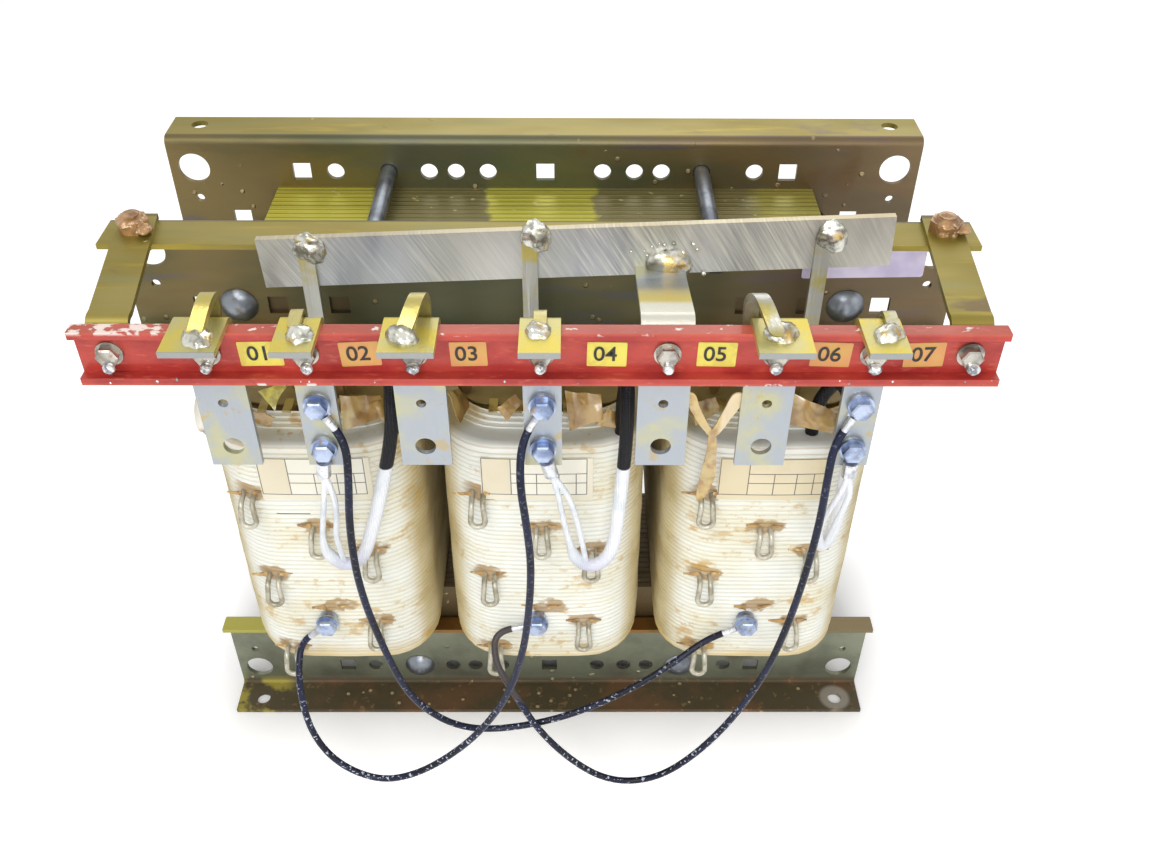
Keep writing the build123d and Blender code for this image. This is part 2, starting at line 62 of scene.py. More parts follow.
# %% The camera
CAMERA_PLACE = (0.0169, -0.5911, 0.6933)
CAMERA_TURN = (50.3646, -0.2902, -0.2408)      # degrees about X, Y and Z
LENS = 35.42                                   # millimetres, on a 36 mm sensor

camera_data = bpy.data.cameras.new("camera")
camera_data.lens = LENS
camera_data.sensor_width = 36.0
camera_data.sensor_fit = "HORIZONTAL"
camera_data.clip_start = 0.01
camera = bpy.data.objects.new("camera", camera_data)
camera.location = CAMERA_PLACE
camera.rotation_euler = [math.radians(a) for a in CAMERA_TURN]
bpy.context.scene.collection.objects.link(camera)
bpy.context.scene.camera = camera
print("camera at", CAMERA_PLACE, "lens", LENS)

# %% [markdown]
# Six free cables hang in front of the windings. Three thin black jumpers run from a lug on
# a terminal plate down to a bolted tap, each in one long loop. Three sleeved leads drop
# from the lower bolts, turn up in a short loop and go back into the top of a winding.
# Each is one smooth NURBS line near a few points of its route, because a cable is stiff
# enough to pass its corners wide and never bends in straight runs.

# %% The cables
def cable(name, diameter, points):
    """A round cable along a smooth line near the points; the points are in metres.
    The bevel is one metre deep and each point's radius is the cable's, because Blender
    adds the radius, in metres, to the box it reports for a curve."""
    curve = bpy.data.curves.new(name, "CURVE")
    curve.dimensions = "3D"
    spline = curve.splines.new("NURBS")
    spline.points.add(len(points) - 1)
    for knot, place in zip(spline.points, points):
        knot.co = (*place, 1.0)
        knot.radius = diameter / 2
    spline.order_u = 3
    spline.use_endpoint_u = True
    spline.resolution_u = 10
    curve.bevel_depth = 1.0
    curve.bevel_resolution = 6
    curve.use_fill_caps = True
    piece = bpy.data.objects.new(name, curve)
    bpy.context.scene.collection.objects.link(piece)
    return piece


JUMPER = 0.0042
SLEEVE = 0.0075
JUMPER_ROUTES = {
    "jumper_left": [
        (-0.1015, -0.1527, 0.3316), (-0.0971, -0.1527, 0.3226), (-0.0975, -0.1565, 0.303),
        (-0.1015, -0.158, 0.266), (-0.1015, -0.158, 0.219), (-0.093, -0.157, 0.165),
        (-0.084, -0.156, 0.126), (-0.07, -0.154, 0.101), (-0.054, -0.152, 0.086),
        (-0.034, -0.15, 0.08), (-0.004, -0.148, 0.084), (0.026, -0.144, 0.093), (0.058, -0.1385, 0.11),
        (0.082, -0.1305, 0.1235), (0.1001, -0.1217, 0.1341), (0.1113, -0.1217, 0.1408)],
    "jumper_centre": [
        (-0.0048, -0.1527, 0.3315), (-0.009, -0.1527, 0.3224), (-0.01, -0.162, 0.303),
        (-0.007, -0.165, 0.277), (-0.005, -0.166, 0.247), (-0.0075, -0.165, 0.207),
        (-0.012, -0.164, 0.171), (-0.022, -0.163, 0.131), (-0.041, -0.161, 0.092),
        (-0.064, -0.16, 0.063), (-0.086, -0.159, 0.044), (-0.107, -0.158, 0.036),
        (-0.127, -0.156, 0.043), (-0.142, -0.153, 0.058), (-0.151, -0.149, 0.08),
        (-0.154, -0.143, 0.104), (-0.155, -0.134, 0.121), (-0.1536, -0.1217, 0.1323),
        (-0.1469, -0.1217, 0.1383)],
    "jumper_right": [
        (0.1525, -0.1527, 0.3312), (0.1488, -0.1527, 0.3219), (0.1475, -0.157, 0.303),
        (0.1475, -0.158, 0.272), (0.1455, -0.158, 0.236), (0.141, -0.157, 0.189),
        (0.133, -0.156, 0.144), (0.118, -0.155, 0.099), (0.098, -0.155, 0.062), (0.077, -0.155, 0.037),
        (0.055, -0.155, 0.029), (0.034, -0.156, 0.037), (0.013, -0.157, 0.061),
        (-0.005, -0.156, 0.089), (-0.016, -0.152, 0.112), (-0.025, -0.144, 0.124),
        (-0.031, -0.136, 0.131), (-0.032, -0.1217, 0.1418), (-0.0205, -0.1217, 0.1449)],
}

cables = {}
for name, route in JUMPER_ROUTES.items():
    piece = cable(name + "_cable", JUMPER, route)
    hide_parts(name)
    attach(piece, "root")
    cables[name] = piece
    print(name, len(route), "points")

# %% [markdown]
# A sleeved lead is a pair of thin wires at its lug. They share one fat glass sleeve from
# the bottom of the loop on, white first and black where it goes up behind the rail. The
# cable itself is one curve whose radius swells where the sleeve starts, and its twin wire
# is a second thin curve beside it, so the pair shows as two.

# %% The sleeved leads
LEAD_ROUTES = {
    "coil_lead_left": [
        (-0.1104, -0.1543, 0.3026), (-0.1119, -0.1543, 0.2907), (-0.116, -0.15, 0.27),
        (-0.121, -0.145, 0.245), (-0.12, -0.1405, 0.229), (-0.112, -0.1375, 0.218),
        (-0.103, -0.135, 0.221), (-0.098, -0.1335, 0.234), (-0.093, -0.132, 0.25),
        (-0.086, -0.1285, 0.276), (-0.08, -0.125, 0.301), (-0.078, -0.121, 0.32),
        (-0.079, -0.111, 0.333), (-0.081, -0.1025, 0.32), (-0.083, -0.102, 0.304),
        (-0.083, -0.102, 0.288)],
    "coil_lead_centre": [
        (0.0061, -0.1543, 0.303), (0.0092, -0.1543, 0.2915), (0.0115, -0.149, 0.268),
        (0.015, -0.1435, 0.243), (0.018, -0.1405, 0.228), (0.025, -0.138, 0.2185),
        (0.034, -0.1365, 0.219), (0.04, -0.135, 0.23), (0.042, -0.133, 0.25),
        (0.044, -0.129, 0.276), (0.0455, -0.125, 0.3), (0.046, -0.121, 0.32),
        (0.046, -0.111, 0.333), (0.045, -0.1025, 0.32), (0.044, -0.102, 0.304),
        (0.044, -0.102, 0.288)],
    "coil_lead_right": [
        (0.1585, -0.1543, 0.3025), (0.1575, -0.1543, 0.2925), (0.1535, -0.151, 0.276),
        (0.1515, -0.146, 0.256), (0.1535, -0.141, 0.239), (0.1590, -0.136, 0.2335),
        (0.1645, -0.131, 0.242), (0.1665, -0.127, 0.262), (0.1670, -0.124, 0.286),
        (0.1665, -0.121, 0.306), (0.1640, -0.115, 0.322), (0.1590, -0.108, 0.329),
        (0.1535, -0.1030, 0.318), (0.150, -0.102, 0.304), (0.150, -0.102, 0.288)],
}
STRAND_SHARE = 0.42            # a bare strand's radius as a share of the sleeve's
STRAND_POINTS = 4              # the first points of a route, where the strands are bare
TWIN_OFFSET = 0.0046           # between the two strands of a pair

twins = {}
for name, route in LEAD_ROUTES.items():
    piece = cable(name + "_sleeve", SLEEVE, route)
    for number, knot in enumerate(piece.data.splines[0].points):
        knot.radius *= STRAND_SHARE if number < STRAND_POINTS else 1.0
    beside = [(x + TWIN_OFFSET * min(number, 1.6), y, z)
              for number, (x, y, z) in enumerate(route[:STRAND_POINTS])]
    twin = cable(name + "_strand", SLEEVE * STRAND_SHARE, beside + [route[STRAND_POINTS + 1]])
    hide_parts(name)
    for part in (piece, twin):
        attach(part, "root")
    cables[name], twins[name] = piece, twin
    print(name, len(route), "points and a twin strand")

# %% [markdown]

# %% [markdown]
# Finishes are written as sums. One small class stands for a value that flows through a
# material, and its operators add Math nodes, so that 1 - mask means what it says. Where the
# value is a colour, painted() lays a tint over it. A second class is the material itself,
# with one method that makes any other node.

# %% Values and recipes
class Flow:
    """A number or colour on its way through a material's nodes."""

    def __init__(self, recipe, socket):
        self.recipe, self.socket = recipe, socket

    def math(self, operation, *terms):
        return self.recipe.node("ShaderNodeMath", {"operation": operation}, terms)

    def __add__(self, other):
        return self.math("ADD", self, other)

    def __radd__(self, other):
        return self.math("ADD", other, self)

    def __sub__(self, other):
        return self.math("SUBTRACT", self, other)

    def __rsub__(self, other):
        return self.math("SUBTRACT", other, self)

    def __mul__(self, other):
        return self.math("MULTIPLY", self, other)

    def __rmul__(self, other):
        return self.math("MULTIPLY", other, self)

    def __truediv__(self, other):
        return self.math("DIVIDE", self, other)

    def __pow__(self, other):
        return self.math("POWER", self, other)

    def __abs__(self):
        return self.math("ABSOLUTE", self)

    def wave(self):
        return self.math("SINE", self)

    def rounded(self):
        return self.math("ROUND", self)

    def larger(self, other):
        return self.math("MAXIMUM", self, other)

    def smaller(self, other):
        return self.math("MINIMUM", self, other)

    def rise(self, low, high):
        """0 up to low, 1 from high on, and smooth between them; low may be the larger."""
        return self.recipe.node("ShaderNodeMapRange", {"interpolation_type": "SMOOTHSTEP"},
                                {"Value": self, "From Min": low, "From Max": high})

    def between(self, low, high, first, second):
        """One tint where this value is at low, another where it is at high."""
        return self.recipe.mix(self.rise(low, high), tint(*first), tint(*second))

    def painted(self, share, *colour):
        """This colour, with a share of a tint painted over it."""
        return self.recipe.mix(share, self, tint(*colour))


class Recipe:
    """A material: node() makes its nodes, and shade() joins the results to its shader."""

    def __init__(self, name):
        self.material = bpy.data.materials.new(name)
        self.material.use_nodes = True
        self.tree = self.material.node_tree
        self.shader = self.tree.nodes["Principled BSDF"]
        self.place = self.node("ShaderNodeTexCoord", out="Object")
        self.x, self.y, self.z = self.node("ShaderNodeSeparateXYZ", {}, [self.place], out=None)

    def feed(self, socket, value):
        if isinstance(value, Flow):
            self.tree.links.new(value.socket, socket)
        elif isinstance(value, tuple) and len(value) == 3 and socket.type == "RGBA":
            socket.default_value = (*value, 1.0)
        else:
            socket.default_value = value

    def node(self, kind, settings=None, sockets=(), out=0):
        """Makes a node with its settings and inputs; out=None returns all of its outputs."""
        made = self.tree.nodes.new(kind)
        for key, value in (settings or {}).items():
            setattr(made, key, value)
        named = {s.identifier: s for s in made.inputs}
        pairs = sockets.items() if isinstance(sockets, dict) else zip(named, sockets)
        for key, value in pairs:
            self.feed(named[key] if key in named else made.inputs[key], value)
        if out is None:
            return [Flow(self, s) for s in made.outputs]
        return Flow(self, made.outputs[out])

    def stretched(self, stretch, shift):
        """The object's coordinates, stretched, and shifted so that no two patterns agree."""
        return self.node("ShaderNodeMapping", {}, {
            "Vector": self.place, "Scale": stretch, "Location": (shift, shift * 0.7, -shift)})

    def noise(self, scale, detail=3.0, stretch=(1.0, 1.0, 1.0), shift=0.0, rough=0.55):
        return self.node("ShaderNodeTexNoise", {}, {
            "Vector": self.stretched(stretch, shift), "Scale": scale, "Detail": detail, "Roughness": rough})

    def cells(self, scale, shift=0.0):
        where = self.stretched((1.0, 1.0, 1.0), shift)
        return self.node("ShaderNodeTexVoronoi", {}, {"Vector": where, "Scale": scale})

    def mix(self, share, first, second):
        """A share of the second colour over the first."""
        return self.node("ShaderNodeMix", {"data_type": "RGBA"},
                         {"Factor_Float": share, "A_Color": first, "B_Color": second}, out=2)

    def shade(self, colour, roughness, metallic=0.0, height=None, depth=0.0005, coat=None,
              coat_roughness=0.1, **fixed):
        """Joins colour, roughness and metallic to the shader, and a height to its normal."""
        self.feed(self.shader.inputs["Base Color"], colour)
        self.feed(self.shader.inputs["Roughness"], roughness)
        self.feed(self.shader.inputs["Metallic"], metallic)
        if height is not None:
            bump = self.node("ShaderNodeBump", {}, {"Height": height, "Distance": depth, "Strength": 1.0},
                             out="Normal")
            self.feed(self.shader.inputs["Normal"], bump)
        if coat is not None:
            self.feed(self.shader.inputs["Coat Weight"], coat)
            self.shader.inputs["Coat Roughness"].default_value = coat_roughness
        for key, value in fixed.items():
            self.shader.inputs[key.replace("_", " ")].default_value = value
        print("finish", self.material.name, len(self.tree.nodes), "nodes")
        return self.material


def tint(red, green, blue):
    """A colour as seen on the screen, 0 to 255, as the shader's linear values."""
    def linear(v):
        v /= 255
        return v / 12.92 if v <= 0.04045 else ((v + 0.055) / 1.055) ** 2.4
    return (linear(red), linear(green), linear(blue))


# %% [markdown]
# The four clamps are sheet with a yellow chromate. On the flanges that face the light it is
# a gold olive with faint bands of other hues along the fold. On the webs it is painted darker
# and browner, partly as shade and partly because tan varnish has run over it. The lower front
# clamp stands in the drips: its foot is brown with rust and beads of varnish, each bead with a
# painted glint, and its left end is painted bright yellow as light on the chromate. Its web is
# a grey green. Everything is told apart by height and depth, so one recipe serves all four
# clamps and the rail's straps.

# %% Chromated sheet
WEB_FACE = 0.051                # the webs' outer faces, from the core's middle
MID_HEIGHT = 0.2                # the upper clamps are above it and the lower ones below
LEDGE = 0.072                   # the underside of the lower clamps' narrow flanges
RINGED_HOLE = (0.211, -0.0663)  # X and Y of the foot's hole with a worn ring

zinc = Recipe("chromated_sheet")
broad = zinc.noise(7.0, 3.0, (1.0, 3.0, 3.0))
streaks = zinc.noise(34.0, 4.0, (0.35, 3.0, 3.0), 3.0)
grime = zinc.noise(26.0, 5.0, (1.0, 1.0, 1.0), 7.0, 0.62)
fine = zinc.noise(420.0, 3.0, (0.3, 1.0, 1.0), 1.0)
web = (abs(zinc.y) - WEB_FACE).rise(0.003, 0.001)
upper = zinc.z.rise(MID_HEIGHT - 0.01, MID_HEIGHT + 0.01)
front = zinc.y.rise(0.01, -0.01)
gold = broad.between(0.35, 0.68, (150, 136, 70), (134, 120, 46))
gold = gold.painted(streaks.rise(0.56, 0.74) * 0.55, 182, 160, 46)
gold = gold.painted(streaks.rise(0.46, 0.3) * 0.4, 126, 130, 92)
# The webs' colours are painted darker than the flanges', partly as shade and partly for the tan varnish.
web_varnish_and_shade = broad.between(0.38, 0.66, (118, 102, 62), (84, 84, 56))
web_varnish_and_shade = web_varnish_and_shade.painted(streaks.rise(0.55, 0.72) * 0.5, 112, 82, 44)
web_varnish_and_shade = web_varnish_and_shade.painted(streaks.rise(0.42, 0.3) * 0.4, 88, 84, 112)
web_varnish_and_shade = web_varnish_and_shade.painted(abs(zinc.x + 0.04).rise(0.13, 0.03) * 0.6, 84, 94, 76)
web_varnish_and_shade = web_varnish_and_shade.painted(zinc.x.rise(0.06, 0.16) * 0.5, 112, 90, 74)
upper_colour = zinc.mix(web, gold, web_varnish_and_shade)
green = grime.between(0.4, 0.7, (134, 138, 118), (110, 112, 96))
rust = grime.between(0.46, 0.64, (78, 68, 46), (102, 76, 50))
# The foot's left end is painted bright yellow: the chromate there, with painted light on it.
rust = rust.painted(zinc.x.rise(-0.185, -0.2) * grime.rise(0.42, 0.5) * 0.8, 168, 156, 64)
rust = rust.painted(zinc.noise(190.0, 3.0, shift=5.0).rise(0.6, 0.72) * 0.5, 158, 126, 84)
from_hole = ((zinc.x - RINGED_HOLE[0]) ** 2 + (zinc.y - RINGED_HOLE[1]) ** 2) ** 0.5
ring = from_hole.rise(0.0125, 0.009)
rust = rust.painted(ring * 0.45, 186, 180, 168)
foot = front * zinc.z.rise(0.011, 0.003)
ledge = zinc.z.rise(LEDGE - 0.004, LEDGE)
amber = grime.between(0.4, 0.6, (118, 88, 42), (140, 100, 48))
ends = zinc.x.between(-0.1, 0.1, (168, 162, 78), (122, 108, 78))
lower_colour = zinc.mix(ledge, green, zinc.mix(abs(zinc.x).rise(0.185, 0.19), amber, ends))
lower_colour = zinc.mix(foot, lower_colour, rust)
sheet_colour = zinc.mix(upper, lower_colour, upper_colour)
drops = zinc.cells(95.0, shift=2.0)
beads = drops.rise(0.18, 0.1) * (zinc.noise(30.0, 2.0, shift=9.0) + foot * 0.12).rise(0.56, 0.64)
stain = zinc.noise(14.0, 4.0, (1.0, 2.0, 0.8), 12.0).rise(0.6, 0.68) * 0.7
sheet_colour = sheet_colour.painted(stain * (1 - foot), 96, 70, 36)
# The beads of varnish are painted pale, as their glints.
sheet_colour = sheet_colour.painted(beads * 0.6, 206, 186, 140)
sheet_rough = 0.34 + 0.22 * broad + 0.2 * foot - 0.18 * stain
sheet_metallic = 0.62 - 0.35 * stain - 0.4 * foot * upper.rise(1, 0)
zinc_sheet = zinc.shade(sheet_colour, sheet_rough, sheet_metallic,
                        height=beads * 0.9 + fine * 0.06 + grime * foot * 0.7, depth=0.0012)

# %% [markdown]
# The core is a pile of thin steel sheets seen on edge. Varnish has gilded its top, and the
# sheets show there as fine lines along the yoke. Some lengths are bright and others dull,
# as the varnish pooled. Below the top the steel is painted dark, as the shade inside the
# windows. Stripes across Y make the lines.

# %% Laminated steel
YOKE_TOP = 0.359
POOLS = ((-0.126, 0.036, 0.031), (0.008, 0.034, 0.030))  # middle, outer and inner half length
RIGHT_POOL = (0.120, 0.135)                              # where it starts, and is whole

steel = Recipe("laminated_core")
sheets = (steel.y * 1280.0 + steel.noise(3.0, 2.0) * 2.0).wave()
packets = (steel.y * 330.0).wave()
lines = sheets.rise(0.1, 0.95) * 0.7 + packets.rise(0.5, 0.95) * 0.3
wobble = steel.noise(40.0, 3.0, shift=4.0) * 0.02
pools = steel.x.rise(*RIGHT_POOL) * 0.5
for middle, outer, inner in POOLS:
    pools = pools.larger(abs(steel.x - middle + wobble).rise(outer, inner))
top = steel.z.rise(YOKE_TOP - 0.007, YOKE_TOP - 0.001)
gilt = steel.mix(pools, tint(134, 124, 80), tint(208, 200, 78))
gilt = gilt.painted(lines * 0.6, 104, 98, 52)
# Below the yoke's top the steel is painted dark, as the shade inside the windows.
shade_steel = steel.mix(lines * 0.4, tint(104, 88, 58), tint(66, 56, 36))
core_colour = steel.mix(top, shade_steel, gilt)
specks = steel.noise(160.0, 2.0, shift=2.0).rise(0.68, 0.74)
core_colour = core_colour.painted(specks * 0.6, 226, 214, 150)
core_steel = steel.shade(core_colour, 0.42 + 0.15 * lines, 0.45, height=lines, depth=0.0004)

# %% [markdown]
# Bolts come in four states. The long clamp bolts have dark oiled domes. The terminal and
# tap bolts are bright zinc with a blue cast, and those on the rail are duller and browner.
# The two strap bolts are lumps of coppery varnish and rust.

# %% Bolt finishes
def metal(name, light, shadow, rough, speck, scale=180.0, metallic=0.85, bumpy=0.25):
    """A metal that is cloudy between two tints, with specks of a third."""
    recipe = Recipe(name)
    cloud = recipe.noise(scale, 3.0)
    spots = recipe.noise(scale * 2.2, 3.0, shift=6.0).rise(0.6, 0.7)
    colour = cloud.between(0.38, 0.66, light, shadow).painted(spots * 0.7, *speck)
    return recipe.shade(colour, rough + 0.2 * cloud, metallic - 0.5 * spots * metallic,
                        height=cloud * bumpy + spots * bumpy, depth=0.0005)


dark_bolt = metal("oiled_bolt", (140, 146, 154), (94, 98, 106), 0.26, (128, 116, 96),
                  scale=60.0, metallic=0.8, bumpy=0.1)
bright_bolt = metal("zinc_bolt", (178, 190, 214), (116, 130, 160), 0.2, (160, 132, 88),
                    scale=110.0, metallic=0.88, bumpy=0.05)
rail_bolt = metal("varnished_bolt", (186, 182, 172), (122, 118, 112), 0.2, (158, 118, 76),
                  scale=110.0, bumpy=0.08)
rusty_bolt = metal("rusty_bolt", (186, 146, 102), (134, 98, 64), 0.14, (222, 204, 176),
                   scale=110.0, metallic=0.3)
lug_metal = metal("tinned_lug", (220, 222, 226), (160, 164, 172), 0.2, (180, 150, 96))
tap_metal = metal("tap_wire", (192, 188, 172), (150, 144, 124), 0.34, (206, 196, 166),
                  scale=140.0, metallic=0.55)

# %% [markdown]
# The terminals are plated bars: a cool grey where they hang below the rail, with yellow
# varnish in clouds, and nearly gold on the tabs above, which height tells apart. The leads
# from the windings are a brushed metal, brown at the root and gold at the tips.

# %% Terminal plate and lead metal
TAB_FOLD = 0.389               # about where a terminal folds forward into its tab
TAB_FRONT = -0.180
BACK_STRIP = (0.0615, 0.0165)  # middle and half width of what is painted as the strip to the bar

plate = Recipe("terminal_plate")
cloud = plate.noise(46.0, 4.0, shift=3.0)
tab = plate.z.rise(TAB_FOLD - 0.003, TAB_FOLD + 0.003)
cool = cloud.between(0.46, 0.68, (164, 170, 176), (182, 180, 146))
cool = cool.painted(plate.noise(90.0, 3.0, shift=8.0).rise(0.62, 0.7) * 0.6, 182, 158, 96)
warm = cloud.between(0.4, 0.6, (184, 176, 116), (200, 182, 78))
warm = warm.painted(plate.y.rise(TAB_FRONT + 0.0008, TAB_FRONT + 0.0002), 150, 152, 150)
strip = abs(plate.x - BACK_STRIP[0]).rise(BACK_STRIP[1] + 0.0005, BACK_STRIP[1] - 0.0005)
# The strip to the bar fades from bare silver to gold, and is painted dark as shade where it goes down
# behind the rail.
strip_with_shade = plate.y.between(-0.134, -0.128, (206, 204, 190), (196, 178, 96))
strip_with_shade = strip_with_shade.painted(plate.y.rise(-0.118, -0.108), 110, 104, 78)
plate_colour = plate.mix(tab, cool, plate.mix(strip, warm, strip_with_shade))
brushed = plate.noise(700.0, 2.0, (1.0, 1.0, 0.06))
terminal_metal = plate.shade(plate_colour, 0.3 + 0.16 * cloud, 0.55, height=brushed, depth=0.00015)

riser = Recipe("lead_strip")
grain = riser.noise(600.0, 2.0, (1.0, 1.0, 0.05))
cloud = riser.noise(60.0, 3.0)
riser_colour = cloud.between(0.4, 0.62, (176, 176, 168), (176, 164, 96))
riser_colour = riser_colour.painted(riser.z.rise(0.31, 0.3) * 0.8, 150, 116, 60)
tips = riser.z.rise(0.388, 0.394) * riser.x.rise(0.05, -0.02)
riser_colour = riser_colour.painted(tips * 0.8, 186, 172, 96)
lead_metal = riser.shade(riser_colour, 0.28 + 0.15 * cloud, 0.7, height=grain, depth=0.0002)

# %% [markdown]
# The neutral bar is bare metal that was ground by hand: bright diagonal scratches in
# bunches, clouds of heat tint, and a yellow line of varnish on its top edge, which slopes.
# Noise stretched along a turned axis makes the scratches.

# %% Ground bar
BAR_EDGE = 0.4065              # just under the top edge, at X = 0
BAR_SLOPE = 0.0437             # of the top edge
SCRATCH_ANGLE = 32             # degrees

bar = Recipe("ground_bar")
leaning = bar.node("ShaderNodeMapping", {"vector_type": "POINT"},
                   {"Vector": bar.place, "Rotation": (0.0, math.radians(SCRATCH_ANGLE), 0.0)})
turned = bar.node("ShaderNodeMapping", {"vector_type": "POINT"},
                  {"Vector": leaning, "Scale": (16.0, 1.0, 0.6)})
scratch = bar.node("ShaderNodeTexNoise", {}, {"Vector": turned, "Scale": 60.0, "Detail": 4.0})
bunches = bar.noise(15.0, 2.0, (1.0, 1.0, 0.3), 5.0).rise(0.45, 0.6)
broad = bar.noise(9.0, 2.0, (1.0, 1.0, 0.4), 3.0)
bar_colour = broad.between(0.35, 0.65, (164, 170, 176), (192, 192, 184))
dull = bar.noise(34.0, 3.0, (1.0, 1.0, 0.25), 6.0).rise(0.5, 0.72)
bar_colour = bar_colour.painted(dull * 0.55, 122, 130, 142)
bar_colour = bar_colour.painted(scratch.rise(0.45, 0.7) * (bunches * 0.5 + 0.25), 220, 218, 206)
bar_colour = bar_colour.painted(scratch.rise(0.5, 0.35) * (bunches * 0.2 + 0.08), 118, 124, 132)
bar_colour = bar_colour.painted(bar.x.rise(0.08, 0.17) * 0.35, 190, 178, 146)
heat = bar.noise(16.0, 3.0, (1.0, 1.0, 0.5), 11.0).rise(0.56, 0.7)
bar_colour = bar_colour.painted(heat * 0.6, 112, 108, 104)
edge = (bar.z - bar.x * BAR_SLOPE - BAR_EDGE).rise(0.0, 0.0015)
bar_colour = bar_colour.painted(edge * 0.8, 178, 150, 62)
neutral_metal = bar.shade(bar_colour, 0.32 + 0.2 * scratch, 0.72, height=scratch * bunches, depth=0.00015)

# %% [markdown]
# The rail is moulded red polyester under clear varnish. It is cloudy like cast resin, with a
# painted highlight along its two edges, and white flecks there that are partly varnish dried
# into frost and partly painted glints, most of all at the left end. A coat gives the wet gloss.

# %% Red rail
red = Recipe("red_rail")
cloud = red.noise(60.0, 4.0, (0.6, 1.0, 1.0))
fibres = red.noise(330.0, 3.0, (0.3, 1.0, 1.0), 4.0)
red_colour = cloud.between(0.35, 0.68, (180, 62, 50), (152, 38, 34))
red_colour = red_colour.painted(fibres.rise(0.56, 0.7) * 0.4, 204, 104, 80)
top_edge = red.z.rise(0.3925, 0.3945)
# rim is a painted highlight along the rail's top and lower edges.
rim = top_edge.larger(red.z.rise(0.3665, 0.3648))
frost_cloud = red.noise(170.0, 3.0, (0.7, 1.0, 1.0), 2.0)
left_end = red.x.rise(-0.13, -0.19)
# White flecks on the edges: partly varnish frost and partly painted glints.
frost_and_glints = (frost_cloud + 0.16 * left_end * red.z.rise(0.385, 0.392)).rise(0.62, 0.68) * rim
red_colour = red_colour.painted(rim * 0.35, 206, 108, 76)
red_colour = red_colour.painted(frost_and_glints * 0.85, 252, 236, 226)
rail_red = red.shade(red_colour, 0.36 + 0.2 * cloud, height=frost_and_glints * 0.6 + fibres * 0.2 + cloud * 0.3,
                     depth=0.0008, coat=0.35, Specular_IOR_Level=0.35)

# %% [markdown]
# Cables have a black jacket with a blue sheen painted into its colour, pale flecks where
# varnish rubbed off, and a browned end at the middle winding's tap. The sleeves are woven
# glass: white on the loop, black where they climb behind the rail, and painted grey lilac as
# shade where the wires bend at the bottom.

# %% Cable jackets
jacket = Recipe("cable_jacket")
flecks = jacket.noise(420.0, 2.0, (1.0, 1.0, 1.4)).rise(0.6, 0.66)
lower = jacket.z.rise(0.15, 0.08) * 0.85 + 0.12
# The blue sheen is painted into the jacket's colour.
jacket_colour = jacket.noise(40.0).between(0.4, 0.6, (20, 22, 36), (30, 34, 58))
jacket_colour = jacket_colour.painted(flecks * lower, 196, 204, 222)
near_tap = jacket.y.rise(-0.1535, -0.1515) * abs(jacket.x + 0.026).rise(0.014, 0.0125)
bare = near_tap * jacket.z.rise(0.108, 0.112)
jacket_colour = jacket_colour.painted(bare * 0.9, 76, 70, 68)
cable_black = jacket.shade(jacket_colour, 0.34, height=flecks * 0.5, depth=0.0003,
                           Specular_IOR_Level=0.22)

sleeve = Recipe("glass_sleeve")
weave = (sleeve.x * 2600.0 + sleeve.z * 2600.0).wave() * (sleeve.z * 2600.0 - sleeve.x * 2600.0).wave()
black_part = sleeve.y.rise(-0.1385, -0.1375) * sleeve.z.rise(0.2845, 0.2855)
# The bottom of each loop is painted grey lilac as shade.
shaded_bend = sleeve.z.rise(0.235, 0.215)
white = sleeve.mix(sleeve.noise(60.0).rise(0.45, 0.65) * 0.5, tint(240, 242, 246), tint(206, 216, 222))
white = white.painted(shaded_bend * 0.5, 176, 172, 206)
sleeve_colour = white.painted(black_part, 14, 14, 20)
sleeve_white = sleeve.shade(sleeve_colour, 0.5 - 0.2 * black_part, height=weave * 0.5, depth=0.0003,
                            Specular_IOR_Level=0.22)

# %% [markdown]
# The wrap of a winding is ivory paper board, creased into ribs by the wire under it. It is
# nearly white in front, painted tan on the flanks as shade where the wrap turns away, and
# yellow brown round the lower rim, where the varnish drained. Brown stains spread from each
# tap. The grooves between the ribs are painted darker as shade, and two seams run round the
# smooth collar on top. The three windings are alike, so the recipe folds X about each
# winding's middle and paints all three at once. Only a short slit, painted dark as the shade
# in it, is the left winding's own.

# %% Winding wrap
PITCH = 0.130                  # between the windings' middles
COIL_BASE, COIL_TOP = 0.103, 0.288
RIB_PITCH = 0.0035
COLLAR = 0.0065                # the smooth band under the rim
TAPS = (                       # X from the winding's middle, and Z
    (-0.037, 0.250), (-0.001, 0.225), (0.028, 0.205), (-0.033, 0.184), (0.024, 0.142), (-0.032, 0.118))
TAP_BOLT = (-0.005, 0.149)
SEAMS = ((0.2868, 0.0008), (0.2824, 0.0007))    # height and half width
SLIT_X, SLIT_Z = -0.1436, 0.2370

wrap = Recipe("winding_wrap")
across = wrap.x - (wrap.x / PITCH).rounded() * PITCH
cloud = wrap.noise(22.0, 4.0, (1.0, 1.0, 1.6))
fine = wrap.noise(150.0, 3.0, (0.5, 0.5, 2.5), 3.0)
ivory = cloud.between(0.38, 0.7, (238, 239, 231), (230, 225, 202))
tan = cloud.between(0.35, 0.65, (212, 196, 148), (184, 164, 108))
in_front = wrap.y.rise(-0.105, -0.112)
